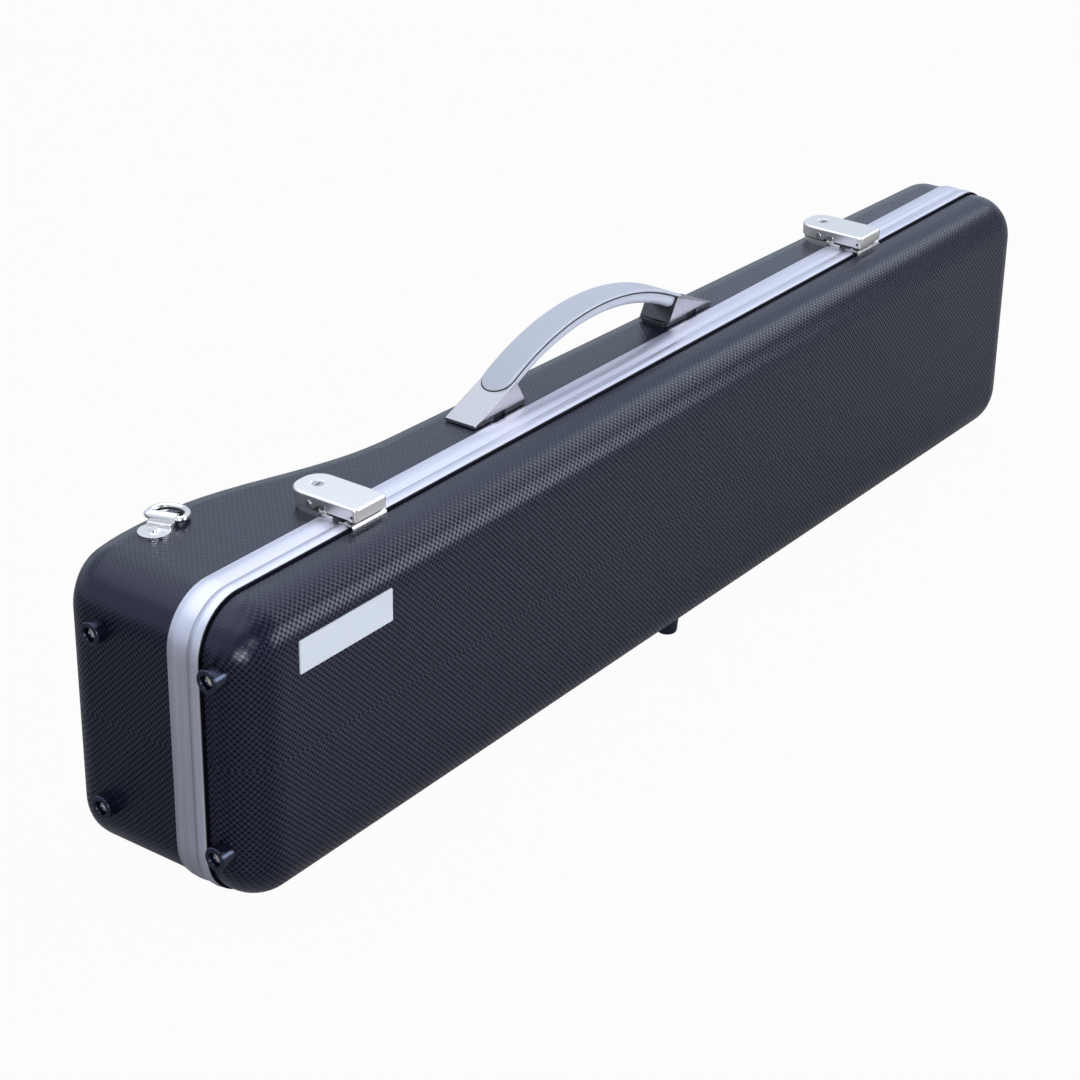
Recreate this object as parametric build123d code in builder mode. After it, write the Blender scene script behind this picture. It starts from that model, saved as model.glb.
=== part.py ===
"""Hard carrying case for an erhu, standing on its spine.

X runs along the case from the wide resonator end (-X) to the neck end (+X), the lid faces -Y
and the deep body lies towards +Y.  +Z is up.  The origin is the bottom centre of the whole case.
"""
from build123d import *

import os
from math import asin, cos, radians, sin, sqrt

os.makedirs("parts", exist_ok=True)

# Case body
case_length = 880.0        # over the band
case_height = 190.0        # over the band, spine to top
band_width = 24.0          # both frame profiles together
band_corner = 34.0         # outer radius of the band's four corners
lid_band = 8.8             # the lid frame's share of the band, the body frame has the rest
seam_gap = 0.2             # between the closed frames
lid_depth = 34.0           # lid face in front of the band
lid_round = 28.0           # soft edge round the lid face
back_deepest = 89.0        # back of the body behind the band at the resonator
back_at_end = 77.5         # the same, at the wide end wall
back_at_neck = 52.3        # where the neck part starts
back_at_tip = 31.5         # at the narrow end
crown_from = 62.0          # deepest stretch starts, from the wide end
crown_to = 76.0            # deepest stretch ends
neck_from = 242.0          # neck part starts
body_round = 21.0          # edge round the back of the body
shell_inset = 2.0          # shells lie this far inside the band
shell_wall = 2.5
groove_clear = 0.05        # shell edge in its frame groove

# Frame profile
lip_wall = 1.9             # outer lip over the shell
valley_drop = 1.1          # valley at the seam below the two lobes
edge_drop = 0.9            # outer edges below the lobes
edge_ease = 0.5            # bevel on the outer edges
web_wall = 2.2             # wall between the seam and the shell edge
leg_wall = 1.45            # inner leg behind the shell
leg_reach = 6.2            # inner leg along the shell
tongue_gap = 0.8           # tongue below the lid's leg
tongue_wall = 1.2
tongue_reach = 4.0         # tongue across the seam

# Foam and lining
foam_side_gap = 0.6        # foam block inside the tongue
foam_front_step = 2.8      # foam face behind the seam
foam_back_gap = 0.3
foam_round = 14.0
foam_wall = 14.0           # foam left between a well and the next block
well_start = 24.0          # resonator well, from the wide end
well_length = 112.0
well_height = 146.0
well_deep = 74.0
well_corner = 22.0
channel_height = 54.0
channel_rise = 20.0        # neck channel centre above the middle
channel_deep = 32.0
channel_corner = 9.0
peg_start = 716.0          # peg well, from the wide end
peg_length = 104.0
peg_height = 140.0
pocket_start = 352.0
pocket_length = 230.0
pocket_height = 44.0
pocket_drop = 50.0         # pocket centre below the middle
pocket_deep = 28.0
head_reach = 30.0          # channel beyond the peg well
lining_gap = 0.3
lining_side = 4.5          # lining inside the lid shell
lining_wall = 8.0
lining_round = 20.0
lining_rim = 5.2           # lining rim behind the band's front edge

# Hinges on the spine
hinge_drop = 3.2           # axis below the band
hinge_length = 44.0
hinge_knuckle = 2.6        # knuckle radius
hinge_middle = 16.0        # lid's knuckle length
hinge_leaf = 1.4
hinge_leaf_reach = 8.4     # leaf from the axis
hinge_leaf_corner = 2.6
hinge_side_gap = 0.3
hinge_rivet = 2.2          # radius of the low rivet heads
hinge_rivet_high = 0.7
pin_radius = 1.2
pin_clear = 0.05
pin_head = 2.0
pin_head_thick = 0.8
hinge_inset = 150.0        # outer hinges from the case's ends

# Latches
latch_from_wide = 142.0    # left latch from the wide end
latch_from_neck = 181.0    # right latch from the neck end
cover_width = 28.6
cover_front = -4.0         # nose in front of the band
cover_back = 49.0
cover_top = 11.0           # above the band
cover_sheet = 1.8
cover_skirt = 1.4
cover_low = 3.0            # skirts end above the band
cover_tail_corner = 12.0
cover_nose_corner = 3.0
cover_edge = 1.3           # soft edge round the top
skirt_from = 27.2          # deep back skirts start
nose_depth = 5.4           # deep front nose
nose_wall = 1.8            # front wall of the nose, in front of its undercut
nose_undercut = 1.6
nose_step = 0.5            # the nose's face steps back low down
nose_step_high = 4.0
nose_eye = 0.9             # eye of the rolled sheet, through the nose
nose_eye_y = 3.1
nose_eye_z = 2.6
thin_skirt = 4.4           # outer skirt between nose and back
inner_skirt = 0.7          # wall that shows below it, in front of the ears
inner_skirt_to = 18.6
base_width = 25.0
base_from = 13.6
base_back = 48.0
base_rim = 1.0
base_plate = 1.6
heel_gap = 0.6             # heel behind the band
seat_clear = 0.05
ear_wall = 2.0
ear_inset = 0.6            # ears stand in from the base's sides
ear_rim = 0.5              # ear round the pivot's boss
link_y = 22.5              # fixed pivot behind the band's front edge
link_z = 4.4               # fixed pivot above the band
link_reach = 8.5           # to the cover's pivot, towards the back
link_rise = 1.0
link_round = 2.3
link_side = 0.3
arm_wall = 3.4
pivot_radius = 1.2
pivot_clear = 0.05
pivot_head = 2.1
pivot_head_thick = 0.7
lock_y = 35.9
lock_radius = 3.4
lock_clear = 0.1
lock_deep = 5.2
lock_dish = 0.35
key_length = 4.2
key_width = 1.0
claw_width = 15.0
claw_sheet = 1.3
claw_toe = 1.2             # toe clear of the nose and above the skirts' edge
claw_hook = 4.4            # reach of the claw's bend
keeper_width = 30.0
keeper_plate = 1.2
keeper_ridge = 2.2
keeper_lip = 2.6
keeper_back = 8.2
keeper_crest = (1.2, 4.6)  # the ridge's run, behind the band's front edge
keeper_sheet = 1.1
keeper_bend = 0.7          # how far the lip's bend rounds
keeper_foot = 0.6          # flat foot starts behind the band's rounded edge
keeper_ease = 0.3

# Handle
handle_at = 409.0          # centre, from the wide end
handle_half = 131.0        # to the outer foot of each bracket
handle_y = 39.2            # centre line behind the band's front edge
handle_rise = 42.0         # crown of the pad above the body
arch_radius = 196.0
grip_width = 21.5
core_width = 19.3          # the core stands back under the pad's edges
grip_core = 8.0
grip_round = 4.2
core_shoulder = 1.0        # rounding of the core under the pad
pad_crown = 1.7
pad_end = 1.1              # pad thickness at its ends
pad_over = 13.0            # pad beyond the arch, down each bracket's slope
pad_round = 0.8
bracket_width = 23.4
bracket_top = 89.5         # inner top corner from the centre
bracket_inner = 78.5       # inner foot from the centre
bracket_toe = 1.8          # height of the outer end
bracket_nose = 8.5         # solid end beyond the hollow
bracket_hollow = 3.0
bracket_round = 0.7
slot_inset = 15.4          # slots from the outer foot
slot_length = 15.0
slot_low = 0.6
slot_high = 3.8
slot_deep = 2.6
clip_width = 3.4
mount_height = 3.4
mount_over = 1.2
mount_side = 0.3
mount_corner = 3.0
mount_edge = 0.8
bracket_foot = 0.8         # bracket skirts above the body
backing_wall = 1.5
backing_width = 11.0
backing_over = 12.0

# Carrying rings
ring_u = 57.3              # rivet of the upper ring from the wide end
ring_y = 84.3
ring_yaw = 19.0
tab_head = 9.5
tab_width = 16.6           # at the curl
tab_neck = 13.2            # at the round head
tab_waist = 3.0            # rounding where the neck leaves the head
tab_fold = 6.0             # folded end of the strip, from the rivet
tab_length = 10.0
tab_sheet = 1.3
curl_bore = 2.1
ring_wire = 2.0
ring_wide = 26.5
ring_long = 20.5
ring_corner = 11.0
ring_small = 2.6           # corners beside the straight bar
ring_float = 0.3
rivet_radius = 3.4
rivet_high = 1.4
end_ring_y = 38.4
end_ring_z = 128.0
seat_raise = 0.8           # moulded seat between the end ring's tab and the shell
seat_inside = 6.0

# Feet
end_foot_radius = 7.2
end_foot_out = 5.6         # beyond the band
end_foot_z = (40.6, 152.6)
end_foot_body_y = 76.0
end_foot_lid_y = -10.8
end_foot_bore = 4.4
end_foot_recess = 4.2
end_foot_round = 0.9
screw_head = 3.5
screw_shaft = 1.7
screw_recess_clear = 0.4
spine_foot_height = 9.0    # below the band
spine_foot_radius = 7.8
spine_foot_tip = 6.8
spine_foot_round = 2.0
foot_sink = 6.0
lid_foot_from_wide = 443.0
lid_foot_y = -10.0
wide_foot_from_end = 70.0
wide_foot_y = 74.0
neck_foot_from_end = 74.0
neck_foot_y = 39.0

# Name plate, left bare
plate_from = 43.3
plate_length = 79.0
plate_low = 144.0
plate_height = 20.5
plate_thick = 0.8

# Placement, so that the origin is the bottom centre of everything
x_left = -(case_length + end_foot_out) / 2 + end_foot_out
x_right = x_left + case_length
x_mid = (x_left + x_right) / 2
y_front = -(lid_depth + plate_thick + band_width + back_deepest) / 2 + lid_depth + plate_thick
y_seam = y_front + lid_band
y_back = y_front + band_width
y_face = y_front - lid_depth
z_band = spine_foot_height
z_top = z_band + case_height
z_mid = (z_band + z_top) / 2
z_body = z_top - shell_inset
groove_floor = y_seam + seam_gap / 2 + web_wall
leg_inside = shell_inset + shell_wall + groove_clear + leg_wall
tongue_top = leg_inside + tongue_gap
foam_inset = tongue_top + tongue_wall + foam_side_gap


def front_plane(y):
    """Plane facing the viewer at depth y, with its origin on the case's middle line."""
    return Plane(origin=(x_mid, y, z_mid), x_dir=(1, 0, 0), z_dir=(0, -1, 0))


def rim_box(y_from, y_to, inset):
    """Rounded slab of the case outline, inset from the band, between two depths."""
    with BuildPart() as slab:
        with BuildSketch(front_plane(y_to)):
            RectangleRounded(case_length - 2 * inset, case_height - 2 * inset, band_corner - inset)
        extrude(amount=y_to - y_from)
    return slab.part


def lid_form(y_rim, inset, y_out, edge):
    """Lid-shaped solid from the rim forward to y_out with a soft front edge."""
    with BuildPart() as form:
        add(rim_box(y_out, y_rim, inset))
        fillet(form.faces().sort_by(Axis.Y)[0].edges(), edge)
    return form.part


def body_form(y_rim, inset, skin, edge):
    """Body-shaped solid: deep over the resonator, falling in a soft S to the neck part."""
    reach = back_deepest + body_round
    with BuildPart() as form:
        add(rim_box(y_rim, y_back + reach, inset))
        with BuildSketch(Plane.XY.offset(z_band - shell_inset)) as plan:
            with BuildLine():
                lean = back_deepest - back_at_end
                span = crown_from - shell_inset
                crown_radius = (span ** 2 + lean ** 2) / (2 * lean)
                half = asin(span / crown_radius) / 2
                crown = (x_left + crown_from, y_back + back_deepest - skin)
                crown_end = (x_left + crown_to, crown[1])
                neck = (x_left + neck_from, y_back + back_at_neck - skin)
                tip = (x_right, y_back + back_at_tip - skin)
                slope = (tip[1] - neck[1]) / (tip[0] - neck[0])
                pull = 0.38 * (neck_from - crown_to)
                edge_end = (crown[0] - span, crown[1] - lean)
                middle = (crown[0] - crown_radius * sin(half), crown[1] - crown_radius * (1 - cos(half)))
                Line((x_left - reach, y_rim - reach), (x_left - reach, edge_end[1]))
                Line((x_left - reach, edge_end[1]), edge_end)
                ThreePointArc(edge_end, middle, crown)
                Line(crown, crown_end)
                Bezier(crown_end, (crown_end[0] + pull, crown_end[1]),
                       (neck[0] - pull, neck[1] - pull * slope), neck)
                Line(neck, tip)
                Line(tip, (x_right + reach, tip[1]))
                Line((x_right + reach, tip[1]), (x_right + reach, y_rim - reach))
                Line((x_right + reach, y_rim - reach), (x_left - reach, y_rim - reach))
            make_face()
        extrude(amount=case_height + 2 * shell_inset, mode=Mode.INTERSECT)
        rim = form.edges().filter_by(Axis.Y, reverse=True)
        rim = rim.filter_by(lambda e: e.center().Y > y_rim + 1)
        rim = rim.filter_by(lambda e: abs(e.center().Z - z_mid) > 1
                            or abs(e.center().X - x_mid) > case_length / 2 - inset - 1)
        fillet(rim, edge)
    return form.part


def ring_rail(y, inset):
    """Closed outline of the case at depth y, starting at the middle of the top."""
    radius = band_corner - inset
    half_x = case_length / 2 - inset
    half_z = case_height / 2 - inset
    corners = ((1, 1), (1, -1), (-1, -1), (-1, 1))
    with BuildLine() as rail:
        last = (x_mid, y, z_mid + half_z)
        for sx, sz in corners:
            cx, cz = x_mid + sx * (half_x - radius), z_mid + sz * (half_z - radius)
            on_x, on_z = (cx, y, cz + sz * radius), (cx + sx * radius, y, cz)
            first, second = (on_x, on_z) if sx * sz > 0 else (on_z, on_x)
            knee = radius * sqrt(0.5)
            Line(last, first)
            ThreePointArc(first, (cx + sx * knee, y, cz + sz * knee), second)
            last = second
        Line(last, (x_mid, y, z_mid + half_z))
    return rail.wire()


def save(piece, name):
    piece.part.label = name
    export_step(piece.part, f"parts/{name}.step")


# Body shell: one moulded wall, open towards the lid, its edge in the body frame's groove
with BuildPart() as body_shell:
    add(body_form(groove_floor + groove_clear, shell_inset, 0, body_round))
    add(body_form(groove_floor + groove_clear, shell_inset + shell_wall, shell_wall,
                  body_round - shell_wall), mode=Mode.SUBTRACT)
save(body_shell, "body_shell")

# Lid shell: shallower, with a broad soft edge round its face
lid_groove_floor = y_seam - seam_gap / 2 - web_wall
with BuildPart() as lid_shell:
    add(lid_form(lid_groove_floor - groove_clear, shell_inset, y_face, lid_round))
    add(lid_form(lid_groove_floor - groove_clear, shell_inset + shell_wall, y_face + shell_wall,
                 lid_round - shell_wall), mode=Mode.SUBTRACT)
save(lid_shell, "lid_shell")

# Band: two extruded profiles, each a convex lobe that falls to the shared valley at the seam.
# s runs away from the seam along Y and r outwards from the lobe's crest.
start = seam_gap / 2
floor = start + web_wall
for name, side, share in (("body_frame", 1, band_width - lid_band), ("lid_frame", -1, lid_band)):
    shell_out = shell_inset
    shell_in = shell_inset + shell_wall + groove_clear
    with BuildPart() as frame:
        with BuildSketch(Plane(origin=(x_mid, y_seam, z_top), x_dir=(0, 1, 0), z_dir=(1, 0, 0))):
            with BuildLine():
                def at(s, r):
                    return (side * s, r)
                ThreePointArc(at(start, -valley_drop), at(share / 2, 0), at(share - edge_ease, -edge_drop))
                Line(at(share - edge_ease, -edge_drop), at(share, -edge_drop - edge_ease))
                Line(at(share, -edge_drop - edge_ease), at(share, -shell_out + groove_clear))
                Line(at(share, -shell_out + groove_clear), at(floor, -shell_out + groove_clear))
                Line(at(floor, -shell_out + groove_clear), at(floor, -shell_in))
                Line(at(floor, -shell_in), at(floor + leg_reach, -shell_in))
                Line(at(floor + leg_reach, -shell_in), at(floor + leg_reach, -leg_inside))
                if side > 0:
                    Line(at(floor + leg_reach, -leg_inside), at(floor, -tongue_top - tongue_wall))
                    Line(at(floor, -tongue_top - tongue_wall), at(-tongue_reach, -tongue_top - tongue_wall))
                    Line(at(-tongue_reach, -tongue_top - tongue_wall), at(-tongue_reach, -tongue_top))
                    Line(at(-tongue_reach, -tongue_top), at(start, -tongue_top))
                    Line(at(start, -tongue_top), at(start, -valley_drop))
                else:
                    Line(at(floor + leg_reach, -leg_inside), at(start, -leg_inside))
                    Line(at(start, -leg_inside), at(start, -valley_drop))
            make_face()
        sweep(path=ring_rail(y_seam, 0))
    save(frame, name)

# Foam behind its velvet, cut into four blocks: resonator well, neck channel, pocket and peg well
foam_front = y_seam + foam_front_step
with BuildPart() as body_foam:
    add(body_form(foam_front, foam_inset, shell_wall + foam_back_gap, foam_round))
    with BuildSketch(front_plane(foam_front)):
        with Locations((well_start + well_length / 2 - case_length / 2, 0)):
            RectangleRounded(well_length, well_height, well_corner)
    extrude(amount=-well_deep, mode=Mode.SUBTRACT)
    channel_end = peg_start + peg_length + head_reach
    with BuildSketch(front_plane(foam_front)):
        with Locations(((well_start + well_length / 2 + channel_end) / 2 - case_length / 2, channel_rise)):
            RectangleRounded(channel_end - well_start - well_length / 2, channel_height, channel_corner)
        with Locations((peg_start + peg_length / 2 - case_length / 2, 0)):
            RectangleRounded(peg_length, peg_height, channel_corner)
    extrude(amount=-channel_deep, mode=Mode.SUBTRACT)
    with BuildSketch(front_plane(foam_front)):
        with Locations((pocket_start + pocket_length / 2 - case_length / 2, -pocket_drop)):
            RectangleRounded(pocket_length, pocket_height, channel_corner)
    extrude(amount=-pocket_deep, mode=Mode.SUBTRACT)
foam_joints = (x_left, x_left + well_start + well_length + foam_wall,
               x_left + pocket_start - foam_wall,
               x_left + pocket_start + pocket_length + foam_wall, x_right)
for name, x_from, x_to in zip(("foam_resonator", "foam_neck", "foam_pocket", "foam_pegs"),
                              foam_joints, foam_joints[1:]):
    with BuildPart() as block:
        add(body_foam.part)
        with BuildSketch(Plane(origin=(x_from, y_seam, z_mid), x_dir=(0, 1, 0), z_dir=(1, 0, 0))):
            Rectangle(4 * back_deepest, 2 * case_height)
        extrude(amount=x_to - x_from, mode=Mode.INTERSECT)
    save(block, name)

# Lining tray in the lid: a padded face with padded side walls
lining_inset = shell_inset + shell_wall + lining_side
lining_out = y_face + shell_wall + lining_gap
with BuildPart() as lid_lining:
    add(lid_form(y_front + lining_rim, lining_inset, lining_out, lining_round))
    add(lid_form(y_front + lining_rim, lining_inset + lining_wall, lining_out + lining_wall,
                 lining_round - lining_wall), mode=Mode.SUBTRACT)
save(lid_lining, "lid_lining")

# Hinges: knuckles below the seam, the lid's single knuckle between the body's two
z_hinge = z_band - hinge_drop
hinge_places = (x_left + hinge_inset, x_mid, x_right - hinge_inset)
for number, x_hinge in enumerate(hinge_places, 1):
    side_length = (hinge_length - hinge_middle) / 2 - hinge_side_gap
    notch = hinge_knuckle + hinge_side_gap
    for name, side in ((f"hinge_leaf_body_{number}", 1), (f"hinge_leaf_lid_{number}", -1)):
        if side > 0:
            spans = [(x_hinge - hinge_length / 2, side_length),
                     (x_hinge + hinge_length / 2 - side_length, side_length)]
        else:
            spans = [(x_hinge - hinge_middle / 2, hinge_middle)]
        with BuildPart() as leaf:
            with BuildSketch(Plane(origin=(x_hinge - hinge_length / 2, y_seam, z_band),
                                   x_dir=(0, 1, 0), z_dir=(1, 0, 0))):
                with Locations((side * (notch + hinge_leaf_reach) / 2, -seat_clear - hinge_leaf / 2)):
                    Rectangle(hinge_leaf_reach - notch, hinge_leaf)
            extrude(amount=hinge_length)
            fillet(leaf.edges().filter_by(Axis.Z).group_by(Axis.Y)[-1 if side > 0 else 0], hinge_leaf_corner)
            for x_from, length in spans:
                with BuildSketch(Plane(origin=(x_from, y_seam, z_hinge),
                                       x_dir=(0, 1, 0), z_dir=(1, 0, 0))):
                    Circle(hinge_knuckle)
                    with Locations((side * (notch + 1) / 2, hinge_drop - seat_clear - hinge_leaf / 2)):
                        Rectangle(notch + 1, hinge_leaf)
                extrude(amount=length)
            with BuildSketch(Plane(origin=(x_hinge - hinge_length, y_seam, z_hinge),
                                   x_dir=(0, 1, 0), z_dir=(1, 0, 0))):
                Circle(pin_radius + pin_clear)
            extrude(amount=2 * hinge_length, mode=Mode.SUBTRACT)
            with BuildSketch(Plane.XY.offset(z_band - seat_clear - hinge_leaf)):
                with Locations((x_hinge, y_seam + side * (notch + hinge_leaf_reach) / 2)):
                    with GridLocations(hinge_length * 0.35, 1, 3, 1):
                        Circle(hinge_rivet)
            extrude(amount=-hinge_rivet_high, taper=35)
        save(leaf, name)
    with BuildPart() as hinge_pin:
        with BuildSketch(Plane(origin=(x_hinge - hinge_length / 2 - pin_head_thick, y_seam, z_hinge),
                               x_dir=(0, 1, 0), z_dir=(1, 0, 0))):
            Circle(pin_head)
        extrude(amount=pin_head_thick)
        with BuildSketch(Plane(origin=(x_hinge + hinge_length / 2, y_seam, z_hinge),
                               x_dir=(0, 1, 0), z_dir=(1, 0, 0))):
            Circle(pin_head)
        extrude(amount=pin_head_thick)
        with BuildSketch(Plane(origin=(x_hinge - hinge_length / 2, y_seam, z_hinge),
                               x_dir=(0, 1, 0), z_dir=(1, 0, 0))):
            Circle(pin_radius)
        extrude(amount=hinge_length)
    save(hinge_pin, f"hinge_pin_{number}")

# Latches: a short link lifts a one-piece cover off the keeper and over the seam
cover_in = cover_width / 2 - cover_skirt
ear_out = base_width / 2 - ear_inset
link_half = ear_out - ear_wall - link_side
latch_places = {"left": x_left + latch_from_wide, "right": x_right - latch_from_neck}
for side_name, x_latch in latch_places.items():

    def side_plane(x, y, z):
        """Plane across the latch: local x runs towards the back, local y up."""
        return Plane(origin=(x, y_front + y, z_top + z), x_dir=(0, 1, 0), z_dir=(1, 0, 0))

    def plan_plane(z):
        """Plane over the latch: local x runs along the case, local y towards the back."""
        return Plane(origin=(x_latch, y_front, z_top + z), x_dir=(1, 0, 0), z_dir=(0, 0, 1))

    y_cover, z_cover = link_y + link_reach, link_z + link_rise
    base_mid = (base_from + base_back) / 2

    with BuildPart() as base:
        with BuildSketch(plan_plane(seat_clear)) as foot:
            with Locations((0, base_mid)):
                Rectangle(base_width + 2 * base_rim, base_back - base_from)
            fillet(foot.vertices().group_by(Axis.Y)[-1], cover_tail_corner)
        extrude(amount=base_plate)
        with BuildSketch(plan_plane(seat_clear)) as heel:
            with Locations((0, (band_width + heel_gap + base_back - base_rim) / 2)):
                Rectangle(base_width, base_back - base_rim - band_width - heel_gap)
            fillet(heel.vertices().group_by(Axis.Y)[-1], cover_tail_corner - base_rim)
        extrude(amount=-shell_inset)
        for ear in (-1, 1):
            x_ear = x_latch - ear_out if ear < 0 else x_latch + ear_out - ear_wall
            with BuildSketch(side_plane(x_ear, 0, 0)):
                with Locations((link_y, link_z)):
                    Circle(link_round + ear_rim)
                with Locations((link_y, (link_z + seat_clear) / 2)):
                    Rectangle(2 * (link_round + ear_rim), link_z - seat_clear)
            extrude(amount=ear_wall)
        with BuildSketch(side_plane(x_latch - cover_width, link_y, link_z)):
            Circle(pivot_radius + pivot_clear)
        extrude(amount=2 * cover_width, mode=Mode.SUBTRACT)
    save(base, f"latch_base_{side_name}")

    with BuildPart() as axle:
        with BuildSketch(side_plane(x_latch - ear_out, link_y, link_z)):
            Circle(pivot_radius)
        extrude(amount=2 * ear_out)
        for x_head in (x_latch - ear_out - pivot_head_thick, x_latch + ear_out):
            with BuildSketch(side_plane(x_head, link_y, link_z)):
                Circle(pivot_head)
            extrude(amount=pivot_head_thick)
    save(axle, f"latch_axle_{side_name}")

    with BuildPart() as link:
        with BuildSketch(side_plane(x_latch - link_half, link_y, link_z)):
            Circle(link_round)
            with Locations((link_reach, link_rise)):
                Circle(link_round)
            with BuildLine():
                tilt = asin(link_rise / sqrt(link_reach ** 2 + link_rise ** 2))
                ox, oy = -link_round * sin(tilt), link_round * cos(tilt)
                Polyline((ox, oy), (link_reach + ox, link_rise + oy),
                         (link_reach - ox, link_rise - oy), (-ox, -oy), close=True)
            make_face()
        extrude(amount=2 * link_half)
        with BuildSketch(side_plane(x_latch - link_half + arm_wall, 0, 0)):
            with Locations((link_y + link_round + 0.4 + link_reach, link_z)):
                Rectangle(2 * link_reach, 5 * link_round)
        extrude(amount=2 * (link_half - arm_wall), mode=Mode.SUBTRACT)
        for py, pz in ((link_y, link_z), (y_cover, z_cover)):
            with BuildSketch(side_plane(x_latch - cover_width, py, pz)):
                Circle(pivot_radius + pivot_clear)
            extrude(amount=2 * cover_width, mode=Mode.SUBTRACT)
    save(link, f"latch_link_{side_name}")

    with BuildPart() as cover:
        with BuildSketch(plan_plane(cover_low)) as outline:
            with Locations((0, (cover_front + cover_back) / 2)):
                Rectangle(cover_width, cover_back - cover_front)
            fillet(outline.vertices().group_by(Axis.Y)[-1], cover_tail_corner)
            fillet(outline.vertices().group_by(Axis.Y)[0], cover_nose_corner)
        extrude(amount=cover_top - cover_low)
        fillet(cover.faces().sort_by(Axis.Z)[-1].edges(), cover_edge)
        with BuildSketch(plan_plane(cover_low)) as inside:
            with Locations((0, (cover_front + nose_depth + cover_back - cover_skirt) / 2)):
                Rectangle(2 * cover_in, cover_back - cover_skirt - cover_front - nose_depth)
            fillet(inside.vertices().group_by(Axis.Y)[-1], cover_tail_corner - cover_skirt)
        extrude(amount=cover_top - cover_sheet - cover_low, mode=Mode.SUBTRACT)
        # the skirts open round the ears, and in front of them step in to a thinner wall
        rise = cover_top - thin_skirt - cover_low
        front = cover_front + nose_depth
        with BuildSketch(side_plane(x_latch - cover_width, 0, cover_low)):
            Polygon((inner_skirt_to, -1), (inner_skirt_to, rise), (skirt_from - rise, rise),
                    (skirt_from, 0), (skirt_from, -1), align=None)
        extrude(amount=2 * cover_width, mode=Mode.SUBTRACT)
        with BuildSketch(plan_plane(cover_low)):
            for cheek in (-1, 1):
                with Locations((cheek * (cover_in + inner_skirt + cover_skirt), (front + inner_skirt_to) / 2)):
                    Rectangle(2 * cover_skirt, inner_skirt_to - front)
        extrude(amount=rise, mode=Mode.SUBTRACT)
        # the nose is undercut in front of the keeper ridge and stepped on its face
        with BuildSketch(side_plane(x_latch - cover_in, 0, cover_low)):
            with Locations((cover_front + nose_wall + nose_depth / 2, 0)):
                Rectangle(nose_depth, 2 * nose_undercut)
        extrude(amount=2 * cover_in, mode=Mode.SUBTRACT)
        with BuildSketch(side_plane(x_latch - cover_width, 0, cover_low)):
            with Locations((cover_front, 0)):
                Rectangle(2 * nose_step, 2 * nose_step_high)
        extrude(amount=2 * cover_width, mode=Mode.SUBTRACT)
        with BuildSketch(side_plane(x_latch - cover_width, cover_front + nose_eye_y,
                                    cover_low + nose_eye_z)):
            Circle(nose_eye)
        extrude(amount=2 * cover_width, mode=Mode.SUBTRACT)
        with BuildSketch(side_plane(x_latch - cover_width, y_cover, z_cover)):
            Circle(pivot_radius)
        extrude(amount=2 * cover_width, mode=Mode.SUBTRACT)
        with BuildSketch(plan_plane(cover_top)):
            with Locations((0, lock_y)):
                Circle(lock_radius + lock_clear)
        extrude(amount=-cover_sheet - 1, mode=Mode.SUBTRACT)
        with BuildSketch(plan_plane(cover_top)):
            with Locations((0, lock_y)):
                Circle(lock_radius + 1.6)
        extrude(amount=-lock_dish / 2, taper=45, mode=Mode.SUBTRACT)
    save(cover, f"latch_cover_{side_name}")

    with BuildPart() as cover_pin:
        with BuildSketch(side_plane(x_latch - cover_width / 2, y_cover, z_cover)):
            Circle(pivot_radius)
        extrude(amount=cover_width)
        for x_head in (x_latch - cover_width / 2 - pivot_head_thick, x_latch + cover_width / 2):
            with BuildSketch(side_plane(x_head, y_cover, z_cover)):
                Circle(pivot_head - 0.3)
            extrude(amount=pivot_head_thick)
    save(cover_pin, f"latch_pin_{side_name}")

    with BuildPart() as lock:
        with BuildSketch(plan_plane(cover_top - lock_dish)):
            with Locations((0, lock_y)):
                Circle(lock_radius)
        extrude(amount=-lock_deep)
        with BuildSketch(plan_plane(cover_top - lock_dish)):
            with Locations((0, lock_y)):
                SlotOverall(key_length, key_width)
        extrude(amount=-lock_deep * 0.6, mode=Mode.SUBTRACT)
    save(lock, f"latch_lock_{side_name}")

    # claw: a sprung strip under the cover that reaches down behind the nose
    with BuildPart() as claw:
        under = cover_top - cover_sheet
        with BuildSketch(side_plane(x_latch - claw_width / 2, 0, 0)):
            seat = under - seat_clear - claw_sheet / 2
            toe = (cover_front + nose_depth + claw_toe, cover_low + claw_toe)
            bend = (toe[0] + claw_hook, toe[1] + claw_toe)
            with BuildLine():
                heel = Line((link_y - link_round - claw_toe, seat), (bend[0] + claw_hook, seat))
                Bezier(heel @ 1, (bend[0], seat), (bend[0], bend[1]), toe)
            trace(line_width=claw_sheet)
        extrude(amount=claw_width)
    save(claw, f"latch_claw_{side_name}")

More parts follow.
